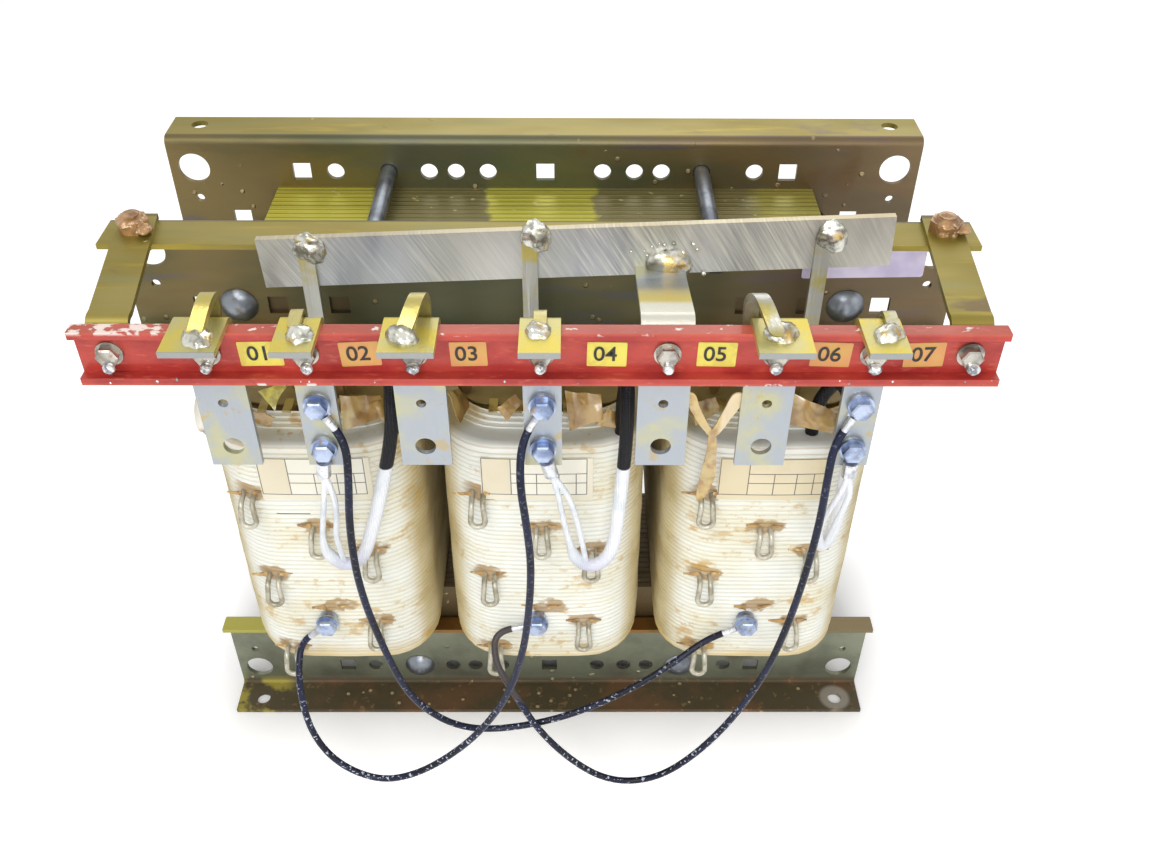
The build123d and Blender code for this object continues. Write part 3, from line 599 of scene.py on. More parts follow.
# The flanks are painted tan as shade where the wrap turns away from the front.
flank_shade = (abs(across) + (wrap.y.rise(-0.112, -0.085) * 0.02)).rise(0.044, 0.066)
wrap_colour = wrap.mix(flank_shade * 0.85, ivory, tan)
hem = (wrap.z + cloud * 0.034).rise(0.141, 0.119)
wrap_colour = wrap_colour.painted(hem * 0.8, 206, 176, 96)
blot_noise = wrap.noise(95.0, 4.0, (1.0, 1.0, 1.5), 5.0)
blots = 0.0
for tap_x, tap_z in (*TAPS, (TAP_BOLT[0] + 0.008, TAP_BOLT[1] + 0.008)):
    reach = ((across - tap_x) ** 2 + ((wrap.z - tap_z - 0.002) * 1.7) ** 2) ** 0.5
    blots = reach.rise(0.019, 0.006) + blots
stain = (blots.smaller(1.0) * 0.5 + blot_noise * 0.85).rise(0.74, 0.88)
wrap_colour = wrap_colour.painted(stain * 0.8 * in_front, 160, 120, 50)
spots = wrap.noise(120.0, 4.0, (1.0, 1.0, 2.2), 8.0).rise(0.6, 0.68) * cloud.rise(0.46, 0.56)
wrap_colour = wrap_colour.painted(spots * 0.6, 200, 158, 88)
collar_low = COIL_TOP - COLLAR
phase = (wrap.z - COIL_BASE) * (2 * math.pi / RIB_PITCH) + math.pi / 2
# The grooves between the ribs are painted darker, as shade.
groove_shade = phase.wave().rise(0.3, 1.0) * wrap.z.rise(collar_low + 0.0005, collar_low - 0.0005)
wrap_colour = wrap_colour.painted(groove_shade * 0.32, 170, 156, 118)
loose = (blot_noise * 0.7 + cloud * 0.5).rise(0.67, 0.78)
wrap_colour = wrap_colour.painted(loose * 0.6, 194, 154, 74)
upper_seam, lower_seam = [abs(wrap.z - height).rise(half, 0.0003) for height, half in SEAMS]
seam = upper_seam.larger(lower_seam)
wrap_colour = wrap_colour.painted(seam * 0.45, 176, 142, 98)
# A short slit in the paper, painted dark as the shade inside it.
slit_shade = abs(wrap.z - SLIT_Z).rise(0.0008, 0.0004) * abs(wrap.x - SLIT_X).rise(0.0101, 0.0095)
wrap_colour = wrap_colour.painted(slit_shade * in_front, 44, 38, 34)
winding_wrap = wrap.shade(wrap_colour, 0.5 + 0.2 * cloud - 0.2 * stain, height=fine + cloud, depth=0.0004)

# %% [markdown]
# Inside a winding all is soaked in varnish: brown wound paper, and amber sticks that hold
# the cooling duct open.

# %% Varnished inside
inside = Recipe("inner_wrap")
turns = (inside.z * 1400.0 + inside.noise(30.0) * 3.0).wave()
cloud = inside.noise(50.0, 4.0)
inner_colour = cloud.between(0.4, 0.66, (150, 118, 62), (96, 70, 34))
inner_colour = inner_colour.painted(inside.z.rise(0.284, 0.2875) * 0.5, 186, 168, 110)
inner_wrap = inside.shade(inner_colour, 0.35 + 0.2 * cloud, height=turns, depth=0.0004, coat=0.5)

sticks = Recipe("amber_stick")
cloud = sticks.noise(80.0, 4.0, (1.0, 1.0, 0.4))
stick_colour = cloud.between(0.4, 0.64, (190, 166, 92), (128, 96, 44))
spacer_amber = sticks.shade(stick_colour, 0.32, height=cloud, depth=0.0006, coat=0.6)

# %% [markdown]
# Each finish then goes on the nodes that are made of it, and on the cables. The bolts are
# sorted by their state.

# %% The finishes on the CAD nodes
FINISHES = {
    core_steel: ["core"],
    zinc_sheet: ["front_upper_clamp", "rear_upper_clamp", "front_lower_clamp", "rear_lower_clamp",
                 "left_rail_strap", "right_rail_strap"],
    dark_bolt: ["upper_tie_bolts", "lower_tie_bolts", "upper_end_bolts", "lower_end_bolts"],
    bright_bolt: ["terminal_bolts", "tap_bolts"],
    rail_bolt: ["rail_bolts"],
    rusty_bolt: ["strap_bolts"],
    winding_wrap: ["left_outer_winding", "centre_outer_winding", "right_outer_winding"],
    inner_wrap: ["left_inner_winding", "centre_inner_winding", "right_inner_winding"],
    spacer_amber: ["duct_spacers"],
    tap_metal: ["left_tap_loops", "centre_tap_loops", "right_tap_loops"],
    rail_red: ["terminal_rail"],
    terminal_metal: [f"terminal_{number}" for number in range(1, 8)],
    neutral_metal: ["neutral_bar"],
    lead_metal: ["neutral_leads", "wide_tab_leads", "narrow_tab_leads"],
    lug_metal: ["jumper_lugs", "coil_lead_lugs"],
}
for finish, names in FINISHES.items():
    for name in names:
        nodes[name].data.materials.clear()
        nodes[name].data.materials.append(finish)
for name, piece in cables.items():
    piece.data.materials.append(cable_black if name in JUMPER_ROUTES else sleeve_white)
for twin in twins.values():
    twin.data.materials.append(sleeve_white)
print("nodes with a finish", sum(len(names) for names in FINISHES.values()))

# %% [markdown]
# New pieces are modelled as by hand: a primitive is added at its place, shaped in edit mode
# and finished with modifiers. These few helpers keep each step to a line. Everything is
# deselected first, because an operator acts on all that is selected.

# %% Helpers for modelling
def start(kind, name, **how):
    """Adds a primitive, with its place and size frozen into its mesh."""
    bpy.ops.object.select_all(action="DESELECT")
    getattr(bpy.ops.mesh, f"primitive_{kind}_add")(**how)
    piece = bpy.context.active_object
    piece.name = piece.data.name = name
    bpy.ops.object.transform_apply(location=True, rotation=True, scale=True)
    return piece


def only(piece):
    bpy.ops.object.select_all(action="DESELECT")
    piece.select_set(True)
    bpy.context.view_layer.objects.active = piece


def choose(kind, test):
    """In edit mode, selects the verts, edges or faces whose middle passes the test."""
    mesh = bpy.context.edit_object.data
    bpy.ops.mesh.select_mode(type=kind)
    bpy.ops.mesh.select_all(action="DESELECT")
    shape = bmesh.from_edit_mesh(mesh)
    parts = {"VERT": shape.verts, "EDGE": shape.edges, "FACE": shape.faces}[kind]
    found = 0
    for part in parts:
        if kind == "VERT":
            middle = part.co
        elif kind == "EDGE":
            middle = (part.verts[0].co + part.verts[1].co) / 2
        else:
            middle = part.calc_center_median()
        if test(middle, part):
            part.select = True
            found += 1
    shape.select_flush_mode()
    bmesh.update_edit_mesh(mesh)
    return found


def editing(piece):
    only(piece)
    bpy.ops.object.mode_set(mode="EDIT")


def done():
    bpy.ops.object.mode_set(mode="OBJECT")


def turn_outward():
    """In edit mode, points every face away from the inside."""
    choose("FACE", lambda c, f: True)
    bpy.ops.mesh.normals_make_consistent(inside=False)


def face_outward(piece):
    editing(piece)
    turn_outward()
    done()


def card(name, wide, high, corner, segments, thick):
    """A thin flat sheet with softened corners."""
    sheet = start("plane", name, size=1.0)
    editing(sheet)
    bpy.ops.transform.resize(value=(wide, high, 1.0))
    bpy.ops.mesh.bevel(offset=corner, segments=segments, affect="VERTICES")
    bpy.ops.mesh.extrude_region_move(TRANSFORM_OT_translate={"value": (0.0, 0.0, thick)})
    turn_outward()
    done()
    return sheet


def apply_modifier(piece, kind, **settings):
    """Adds a modifier, sets it and applies it, so that the mesh is final."""
    only(piece)
    modifier = piece.modifiers.new(kind.lower(), kind)
    for key, value in settings.items():
        setattr(modifier, key, value)
    bpy.ops.object.modifier_apply(modifier=modifier.name)


def lumps(name, size):
    """A cloud texture for the Displace modifier; size is in metres."""
    texture = bpy.data.textures.new(name, "CLOUDS")
    texture.noise_scale = size
    return texture


def dent(piece, texture, strength, level=0.5):
    """Presses a piece's surface in and out along a texture."""
    apply_modifier(piece, "DISPLACE", texture=texture, texture_coords="LOCAL",
                   strength=strength, mid_level=level)


def copy_of(piece, name):
    twin = piece.copy()
    twin.data = piece.data.copy()
    twin.name = twin.data.name = name
    bpy.context.scene.collection.objects.link(twin)
    return twin


def place(piece, turn=(0.0, 0.0, 0.0), size=(1.0, 1.0, 1.0), at=(0.0, 0.0, 0.0)):
    """Turns, scales and moves a piece, and freezes that into its mesh."""
    only(piece)
    piece.rotation_euler = [math.radians(a) for a in turn]
    piece.scale, piece.location = size, at
    bpy.ops.object.transform_apply(location=True, rotation=True, scale=True)
    return piece


def joined(pieces, name):
    only(pieces[0])
    for piece in pieces:
        piece.select_set(True)
    bpy.ops.object.join()
    whole = bpy.context.active_object
    whole.name = whole.data.name = name
    return whole


def settle(piece, finish, angle=40.0, stands_for=()):
    """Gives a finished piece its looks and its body."""
    only(piece)
    bpy.ops.object.shade_smooth_by_angle(angle=math.radians(angle))
    piece.data.materials.clear()
    piece.data.materials.append(finish)
    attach(piece, "root")
    if stands_for:
        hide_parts(*stands_for)
    print(piece.name, "faces", len(piece.data.polygons))


# %% [markdown]
# A winding's wrap starts as a flat plan: a rectangle with round corners whose front and rear
# bulge a little. One rib is drawn up from it in four steps and repeated by the Array
# modifier. The rim on top is broad and smooth, with paper edges stepping up towards the
# duct, and the lower rim draws in. Real ribs beat a bump map here, because they show on
# the outline and catch the light from every side.

# %% The ribbed windings
COIL_WIDTH, COIL_DEPTH, COIL_CORNER = 0.119, 0.231, 0.032
HALL_WIDTH, HALL_DEPTH = 0.100, 0.179           # the hollow inside the outer wrap
BOW = 0.003                                     # how far the front and rear bulge
RIB_DEPTH = 0.0009
RIB_STEPS = ((0.16, 0.6), (0.34, 1.0), (0.34, 0.6), (0.16, 0.0))    # shares of pitch and depth
DRAWN_IN = ((0.116, 0.994), (0.111, 0.99), (0.1075, 0.984), (0.105, 0.98))  # up to a height
CREST_GAP = 0.0004                              # how much narrower the collar is than the ribs


def on_bow(x):
    """How far a face bulges at a distance x from a winding's middle."""
    return BOW * (1 - (x / (COIL_WIDTH / 2)) ** 2)


def resize(x, y, centre_x):
    bpy.ops.transform.resize(value=(x, y, 1.0), center_override=(centre_x, 0.0, 0.0))


def rim(width, depth, rise, was, centre_x):
    """Draws the chosen rim on to a new width, depth and height."""
    bpy.ops.mesh.extrude_region_move(TRANSFORM_OT_translate={"value": (0.0, 0.0, rise)})
    resize(width / was[0], depth / was[1], centre_x)
    return width, depth


def ribbed_winding(name, centre_x):
    deep = COIL_DEPTH - 2 * BOW
    piece = start("plane", name, size=1.0, location=(centre_x, 0.0, COIL_BASE))
    editing(piece)
    resize(COIL_WIDTH, deep, centre_x)
    bpy.ops.mesh.bevel(offset=COIL_CORNER, segments=7, affect="VERTICES")
    choose("FACE", lambda c, f: True)
    bpy.ops.mesh.delete(type="ONLY_FACE")
    choose("EDGE", lambda c, e: abs(abs(c.y) - deep / 2) < 1e-5)
    bpy.ops.mesh.subdivide(number_cuts=7)
    choose("EDGE", lambda c, e: abs(abs(c.x - centre_x) - COIL_WIDTH / 2) < 1e-5)
    bpy.ops.mesh.subdivide(number_cuts=7)
    columns = sorted({round(v.co.x, 4) for v in bmesh.from_edit_mesh(piece.data).verts})
    for column in columns:
        for side in (-1, 1):
            if choose("VERT", lambda c, v: round(c.x, 4) == column
                      and c.y * side > deep / 2 - COIL_CORNER):
                bpy.ops.transform.translate(value=(0.0, side * on_bow(column - centre_x), 0.0))
    choose("EDGE", lambda c, e: True)
    valley = (COIL_WIDTH - 2 * RIB_DEPTH, COIL_DEPTH - 2 * RIB_DEPTH)
    resize(valley[0] / COIL_WIDTH, valley[1] / COIL_DEPTH, centre_x)
    size = valley
    for share, out in RIB_STEPS:
        size = rim(valley[0] + 2 * RIB_DEPTH * out, valley[1] + 2 * RIB_DEPTH * out,
                   RIB_PITCH * share, size, centre_x)
    done()
    count = round((COIL_TOP - COLLAR - COIL_BASE) / RIB_PITCH)
    apply_modifier(piece, "ARRAY", count=count, use_relative_offset=False, use_constant_offset=True,
                   constant_offset_displace=(0.0, 0.0, RIB_PITCH), use_merge_vertices=True,
                   merge_threshold=0.0001)
    top = COIL_BASE + count * RIB_PITCH
    editing(piece)
    for limit, draw in DRAWN_IN:
        choose("VERT", lambda c, v: c.z < limit)
        resize(draw, draw, centre_x)
    choose("EDGE", lambda c, e: e.is_boundary and c.z > top - 1e-4)
    size = valley
    full = (COIL_WIDTH - CREST_GAP, COIL_DEPTH - CREST_GAP)
    size = rim(*full, 0.0006, size, centre_x)
    size = rim(*full, COIL_TOP - top - 0.0016, size, centre_x)
    size = rim(full[0] - 0.0016, full[1] - 0.0016, 0.001, size, centre_x)
    size = rim(full[0] - 0.004, full[1] - 0.005, 0.0, size, centre_x)
    for share in (0.2, 0.4, 0.6):
        wide, deep_now = full[0] + (HALL_WIDTH - full[0]) * share, full[1] + (HALL_DEPTH - full[1]) * share
        size = rim(wide, deep_now, 0.0004, size, centre_x)
        size = rim(wide - 0.0008, deep_now - 0.0012, -0.0004, size, centre_x)
    for inward in (0.0042, 0.0028, 0.0014, 0.0):
        wide, deep_now = HALL_WIDTH + 2 * inward, HALL_DEPTH + 5 * inward
        size = rim(wide, deep_now, 0.0, size, centre_x)
        size = rim(wide - 0.0004, deep_now - 0.0006, 0.0011, size, centre_x)
    size = rim(HALL_WIDTH, HALL_DEPTH, -(0.0044 + COIL_TOP - COIL_BASE - 0.0004), size, centre_x)
    bpy.ops.mesh.extrude_region_move(TRANSFORM_OT_translate={"value": (0.0, 0.0, 0.0)})
    resize(1.02, 1.02, centre_x)
    choose("EDGE", lambda c, e: e.is_boundary)
    bpy.ops.mesh.bridge_edge_loops()
    turn_outward()
    done()
    return piece


WINDINGS = {"left": -PITCH, "centre": 0.0, "right": PITCH}
crumple = lumps("crumple", 0.025)
for side, centre_x in WINDINGS.items():
    piece = ribbed_winding(f"{side}_wrap", centre_x)
    dent(piece, crumple, 0.0012, 0.7)
    settle(piece, winding_wrap, 60.0, [f"{side}_outer_winding"])

# %% [markdown]
# The strips are brazed to the tabs and to the bar with rough beads that set under varnish:
# silver, lumpy, and amber in their hollows. One bead is shaped from a fine ball with two
# clouds of lumps, and every other bead is that one, turned and pressed to its own size.
# A second, smoother ball makes the dome where the fifth terminal meets the bar, and the
# specks of spatter round it.

# %% Weld beads
def rough_ball(name, coarse, strength, fine_strength, detail=4):
    """A lumpy ball of about one metre's radius, to be copied and pressed to size."""
    ball = start("ico_sphere", name, subdivisions=detail, radius=1.0)
    dent(ball, lumps(name + "_lumps", coarse), strength)
    dent(ball, lumps(name + "_grain", coarse / 3), fine_strength)
    return ball


def copies(model, name, places):
    """One piece of copies of a model; each place is (turn, size, at). The model is used up."""
    made = [place(copy_of(model, f"{name}_{number}"), *how) for number, how in enumerate(places)]
    bpy.data.objects.remove(model)
    return joined(made, name)


TAB_TOP = 0.3978
BAR_FACE = -0.0888
TAB_BEADS = (                  # x, y, half width, half depth and height
    (-0.1517, -0.1685, 0.0092, 0.0066, 0.0040), (-0.1060, -0.1667, 0.0066, 0.0064, 0.0044),
    (-0.0605, -0.1672, 0.0066, 0.0082, 0.0056), (0.0014, -0.1630, 0.0060, 0.0064, 0.0040),
    (0.1113, -0.1640, 0.0082, 0.0078, 0.0050), (0.1605, -0.1650, 0.0060, 0.0078, 0.0048))
BAR_BEADS = (                  # x, z, half width and half height
    (-0.1158, 0.3965, 0.0080, 0.0086), (-0.0016, 0.4040, 0.0076, 0.0090),
    (0.1469, 0.4040, 0.0080, 0.0090))
DOME = (0.0658, 0.3880, 0.0118, 0.0092)         # the same of the dome
BAR_BEAD_DEPTH, DOME_DEPTH = 0.0042, 0.0062     # how far they stand out
SPATTER = 22

weld = Recipe("weld_bead")
cloud = weld.noise(110.0, 3.0)
weld_colour = cloud.between(0.4, 0.64, (212, 212, 202), (128, 126, 112))
hollows = weld.noise(100.0, 3.0, shift=5.0).rise(0.54, 0.66)
weld_colour = weld_colour.painted(hollows * 0.8, 186, 152, 70)
weld_metal = weld.shade(weld_colour, 0.16 + 0.2 * cloud, 0.75, height=cloud * 0.5, depth=0.0006,
                        coat=0.6)

random.seed(7)
placed = [((0, 0, random.uniform(0, 360)), (wide, deep, high), (x, y, TAB_TOP))
          for x, y, wide, deep, high in TAB_BEADS]
placed += [((0, 0, 0), (wide, BAR_BEAD_DEPTH, high), (x, BAR_FACE, z))
           for x, z, wide, high in BAR_BEADS]
beads = copies(rough_ball("bead", 0.8, 0.6, 0.07), "beads", placed)
dome_x, dome_z, dome_wide, dome_high = DOME
placed = [((0, 0, 0), (dome_wide, DOME_DEPTH, dome_high), (dome_x, BAR_FACE, dome_z))]
placed += [((random.uniform(0, 90), 0, 0), (size, size, size),
            (dome_x + random.uniform(-0.021, 0.019), BAR_FACE, dome_z + random.uniform(-0.008, 0.015)))
           for size in [random.uniform(0.0006, 0.0014) for _ in range(SPATTER)]]
spatter = copies(rough_ball("dome", 1.2, 0.3, 0.02, 3), "dome_and_spatter", placed)
settle(joined([beads, spatter], "weld_beads"), weld_metal, 60.0)

# %% [markdown]
# Varnish ran down the front and set: a glassy drop hangs from the lower edge of every bolt
# on the rail, smaller beads stand along the rail's lower edge, and the two strap bolts are
# buried in lumps of it. A drop is a ball whose lower end is drawn out to a point.

# %% Varnish drops
RAIL_MIDDLE = 0.002
BOLTS_ALONG = (-0.1565, -0.1105, -0.0595, 0.0, 0.0595, 0.1105, 0.1565, -0.202, 0.202)
DROP_Y, DROP_Z = -0.1612, 0.3752                # under the bolts' heads
RAIL_EDGE = 0.3668                              # about the rail's lower edge
STRAP_BOLT_X = 0.211
SMALL_DROPS = 16

drop_mix = Recipe("set_varnish")
cloud = drop_mix.noise(260.0, 2.0)
# A clear drop is painted silver white and grey, as the reflections it shows.
drop_reflections = cloud.between(0.42, 0.6, (226, 230, 232), (120, 122, 128))
clear_varnish = drop_mix.shade(drop_reflections, 0.06 + 0.1 * cloud, 0.45, height=cloud, depth=0.0004,
                               coat=1.0, coat_roughness=0.03)

drop = rough_ball("drop", 1.4, 0.25, 0.06, 3)
editing(drop)
for level, pull in ((-0.4, 0.12), (-0.8, 0.1)):
    choose("VERT", lambda c, v: c.z < level)
    bpy.ops.transform.translate(value=(0.0, 0.0, -pull))
    bpy.ops.transform.resize(value=(0.82, 0.82, 1.0), center_override=(0.0, 0.0, -1.0))
done()
placed = [((0, 0, random.uniform(0, 360)), (0.0034, 0.0030, 0.0030),
           (RAIL_MIDDLE + x + random.uniform(-0.0006, 0.0012), DROP_Y, DROP_Z)) for x in BOLTS_ALONG]
placed += [((0, 0, random.uniform(0, 360)), (size, size, size * 1.3),
            (random.uniform(-0.225, 0.225), -0.1604, RAIL_EDGE + random.uniform(-0.0008, 0.0016)))
           for size in [random.uniform(0.0003, 0.0007) for _ in range(SMALL_DROPS)]]
settle(copies(drop, "varnish_drops", placed), clear_varnish, 60.0)

strap_low, strap_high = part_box("strap_bolts")
lump_z = strap_high[2] - 0.004
lump_y = (strap_low[1] + strap_high[1]) / 2
placed = [((0, 0, 40), (0.0078, 0.0080, 0.0042), (-STRAP_BOLT_X, lump_y, lump_z)),
          ((0, 0, 160), (0.0074, 0.0078, 0.0044), (STRAP_BOLT_X, lump_y, lump_z)),
          ((0, 0, 80), (0.0050, 0.0042, 0.0026), (-0.2035, lump_y - 0.006, lump_z - 0.002)),
          ((0, 0, 20), (0.0046, 0.0040, 0.0024), (0.2185, lump_y - 0.004, lump_z - 0.002))]
buried = copies(rough_ball("lump", 0.9, 0.6, 0.08), "strap_bolt_varnish", placed)
settle(buried, rusty_bolt, 60.0)

# %% [markdown]
# Each terminal has a small paper tag beside it on the rail, yellow or tan, stuck on a
# little crooked, with a plain number. A tag is a thin sheet with its corners softened.

# %% Number tags
TAGS = (                       # x, width and tilt in degrees
    (-0.1296, 0.0205, 1.0), (-0.0830, 0.0190, 3.0), (-0.0321, 0.0174, 1.5), (0.0330, 0.0188, -1.0),
    (0.0848, 0.0185, -1.0), (0.1386, 0.0190, -2.0), (0.1826, 0.0190, 2.0))
TAG_HEIGHT = 0.0138
TAG_Z = 0.3790
RAIL_FACE = -0.1545
DIGIT_SIZE = 0.0114

tape = Recipe("tag_tape")
yellow = (abs(tape.x + 0.1296).rise(0.012, 0.011)).larger((abs(tape.x - 0.0589)).rise(0.04, 0.039))
cloud = tape.noise(120.0, 3.0, shift=3.0)
tape_colour = tape.mix(yellow, tint(206, 146, 84), tint(220, 208, 84))
tape_colour = tape_colour.painted(cloud.rise(0.44, 0.62) * 0.5, 198, 164, 74)
tag_tape = tape.shade(tape_colour, 0.4 + 0.2 * cloud, height=cloud, depth=0.0002, coat=0.4)

pen = Recipe("tag_ink")
pen_colour = pen.noise(500.0).between(0.4, 0.7, (26, 24, 22), (52, 46, 34))
tag_ink = pen.shade(pen_colour, 0.45 + 0.1 * pen.noise(300.0))

tags, digits = [], []
for number, (x, width, tilt) in enumerate(TAGS, 1):
    tag = card(f"tag_{number}", width, TAG_HEIGHT, 0.0006, 2, 0.00035)
    tags.append(place(tag, (90, -tilt, 0), at=(x, RAIL_FACE, TAG_Z)))
    bpy.ops.object.text_add()
    text = bpy.context.active_object
    text.data.body = f"0{number}"
    text.data.size, text.data.extrude, text.data.offset = DIGIT_SIZE, 0.00008, 0.00012
    text.data.align_x = text.data.align_y = "CENTER"
    bpy.ops.object.convert(target="MESH")
    text.name = f"digits_{number}"
    digits.append(place(text, (90, -tilt, 0), at=(x - 0.0008, RAIL_FACE - 0.0006, TAG_Z)))
settle(joined(tags, "number_tags"), tag_tape, 30.0)
settle(joined(digits, "tag_numbers"), tag_ink, 30.0)

# %% [markdown]
# A paper label is glued to the front of each winding: a ruled form with a tan square at
# its left, under a wider strip of clear tape. It is left blank. A sheet is cut into twelve
# and bent to the winding's bow, and its own UV map carries the ruling. A lavender sticker
# lies on the front web of the upper clamp.

# %% Paper labels
LABEL_WIDE, LABEL_HIGH = 0.063, 0.031
LABELS = {"left": -0.1588, "centre": -0.0346, "right": 0.0988}      # left edges
LABEL_LOW = 0.249

form = Recipe("ruled_label")
across_label, up_label, _ = form.node(
    "ShaderNodeSeparateXYZ", {}, [form.node("ShaderNodeTexCoord", out="UV")], out=None)


def rule(where, at, along, low, high, width):
    """A thin line at one coordinate, between two values of the other."""
    line = abs(where - at).rise(width * 1.3, width * 0.7)
    return line * along.rise(low - 0.004, low) * along.rise(high + 0.004, high)


UPRIGHTS = ((0.01, 0.985), (0.268, 0.985), (0.945, 0.985), (0.497, 0.634), (0.697, 0.634), (0.85, 0.634))
LEVELS = ((0.985, 0.01), (0.13, 0.01), (0.634, 0.268), (0.412, 0.268))      # shares of the label
ruling = 0.0
for at, top in UPRIGHTS:
    ruling = rule(across_label, at, up_label, 0.13, top, 0.0042) + ruling
for at, first in LEVELS:
    ruling = rule(up_label, at, across_label, first, 0.945, 0.009) + ruling
cloud = form.noise(60.0, 4.0, shift=2.0)
aged = form.x.rise(0.09, 0.1) * 0.5 + cloud.rise(0.5, 0.75) * 0.2
paper = form.mix(aged, tint(240, 236, 220), tint(214, 190, 130))
square = across_label.rise(0.268, 0.264) * up_label.rise(0.125, 0.13) * across_label.rise(0.008, 0.012)
paper = paper.painted(square * 0.6, 218, 202, 164)
margin = up_label.rise(0.125, 0.115).larger(across_label.rise(0.95, 0.96))
paper = paper.painted(margin * 0.35, 220, 206, 168)
paper = paper.painted(ruling.smaller(1.0) * 0.9, 56, 50, 48)
ruled_label = form.shade(paper, 0.4 + 0.15 * cloud, height=cloud, depth=0.0003, coat=0.3)

sheets_made = []
for side, left in LABELS.items():
    centre_x = WINDINGS[side]
    sheet = start("plane", f"{side}_label", size=1.0)
    editing(sheet)
    bpy.ops.mesh.subdivide(number_cuts=11)
    bpy.ops.transform.resize(value=(LABEL_WIDE, LABEL_HIGH, 1.0))
    done()
    place(sheet, (90, 0, 0),
          at=(left + LABEL_WIDE / 2, -(COIL_DEPTH / 2 - BOW) - 0.0004, LABEL_LOW + LABEL_HIGH / 2))
    editing(sheet)
    for column in sorted({round(v.co.x, 5) for v in bmesh.from_edit_mesh(sheet.data).verts}):
        choose("VERT", lambda c, v: abs(c.x - column) < 2e-5)
        bpy.ops.transform.translate(value=(0.0, -max(0.0, on_bow(column - centre_x)), 0.0))
    done()
    apply_modifier(sheet, "SOLIDIFY", thickness=0.0002, offset=-1.0)
    sheets_made.append(sheet)
settle(joined(sheets_made, "coil_labels"), ruled_label, 40.0)

lilac = Recipe("lilac_sticker")
cloud = lilac.noise(40.0, 3.0)
lilac_colour = cloud.between(0.4, 0.7, (224, 216, 240), (196, 186, 220))
lilac_paper = lilac.shade(lilac_colour, 0.35 + 0.2 * cloud, height=cloud, depth=0.0003, coat=0.4)
sticker = card("web_sticker", 0.067, 0.019, 0.0015, 3, 0.0003)
place(sticker, (90, -1.0, 0), at=(0.1765, -0.0512, 0.3665))
settle(sticker, lilac_paper, 30.0)

# %% [markdown]
# Where a tap comes through the wrap, the paper was slit and turned up, and varnish soaked
# it brown. So each tap has a torn tongue of paper to its left and a narrower one to its
# right. A tongue is a sheet that tapers and lifts, crumpled a little and given a
# thickness. The same sheet, larger, makes the stiff flaps in the mouths of the windings.

# %% Torn paper at the taps
def torn_sheet(name, wide, high, lift, crumple_size, crumple_strength, thick, taper=0.3):
    """A sheet in the plane of X and Z that tapers away from x = 0 and lifts off towards it."""
    sheet = start("grid", name, x_subdivisions=10, y_subdivisions=5, size=1.0)
    place(sheet, (90, 0, 0), (wide, high, 1.0), (wide / 2, 0, 0))
    editing(sheet)
    for step in range(1, 11):
        choose("VERT", lambda c, v: c.x > wide * (step - 0.5) / 10)
        bpy.ops.transform.resize(value=(1.0, 1.0, taper ** 0.1), center_override=(0.0, 0.0, high * 0.35))
        bpy.ops.transform.translate(value=(0.0, lift / 10, -high * 0.02))
    done()
    dent(sheet, lumps(name + "_crumple", crumple_size), crumple_strength)
    apply_modifier(sheet, "SOLIDIFY", thickness=thick, offset=0.0)
    return sheet


torn = Recipe("torn_paper")
cloud = torn.noise(190.0, 4.0)
torn_colour = cloud.between(0.42, 0.64, (188, 150, 88), (132, 96, 50))
pale_fibres = torn.noise(200.0, 3.0, shift=4.0).rise(0.56, 0.68)
torn_colour = torn_colour.painted(pale_fibres * 0.7, 228, 208, 160)
torn_paper = torn.shade(torn_colour, 0.45 + 0.2 * cloud, height=cloud, depth=0.0005, coat=0.4)

placed = []
for side, centre_x in WINDINGS.items():
    for tap_x, tap_z in (*TAPS, (TAP_BOLT[0] + 0.003, TAP_BOLT[1] + 0.006)):
        face = -(COIL_DEPTH / 2 - BOW) - on_bow(tap_x) - 0.0012
        for way in (-1, 1):
            size = random.uniform(0.75, 1.25) * (1.0 if way < 0 else 0.8)
            placed.append(((0, random.uniform(-8, 14) * way, 0),
                           (way * size, 1.0, random.uniform(0.7, 1.2) * (1.0 if way < 0 else 0.7)),
                           (centre_x + tap_x + way * 0.0035, face, tap_z + 0.0035)))
tongue = torn_sheet("tongue", 0.0095, 0.0042, 0.0016, 0.003, 0.0012, 0.0005)
papers = copies(tongue, "tap_papers", placed)
face_outward(papers)
settle(papers, torn_paper, 40.0)

# %% [markdown]
# In the mouths of the windings, under the rail, stiff flaps of varnished paper stand at the
# corners, amber and brown, and a torn yellow one on the left. Beside the left winding a fold
# of cream paper bulges out, brown where it ends.

# %% Flaps in the mouths
FLAPS = (                      # turn, size, at
    ((-20, 0, 10), (1.1, 1.0, 1.2), (-0.1085, -0.108, 0.3060)),
    ((-30, 8, 60), (0.9, 1.0, 1.1), (-0.0480, -0.106, 0.3080)),
    ((-15, -10, -12), (0.9, 1.0, 1.4), (0.0140, -0.108, 0.3080)),
    ((-25, 0, 25), (0.9, 1.0, 0.8), (0.0830, -0.106, 0.3040)),
    ((-20, 10, -20), (1.4, 1.0, 1.1), (0.1340, -0.106, 0.3080)),
    ((-10, 20, -30), (0.6, 1.0, 0.6), (-0.1600, -0.104, 0.3020)),
    ((-35, -15, 40), (0.7, 1.0, 0.7), (-0.0900, -0.104, 0.3030)),
    ((-20, -30, 20), (0.6, 1.0, 0.6), (-0.0220, -0.104, 0.3020)),
    ((-25, 25, -10), (0.6, 1.0, 0.7), (0.0330, -0.104, 0.3010)),
    ((-30, 15, 35), (0.6, 1.0, 0.7), (0.1180, -0.104, 0.3010)))
amber_mix = Recipe("amber_film")
cloud = amber_mix.noise(60.0, 3.0)
amber_colour = cloud.between(0.4, 0.64, (186, 152, 88), (142, 106, 54))
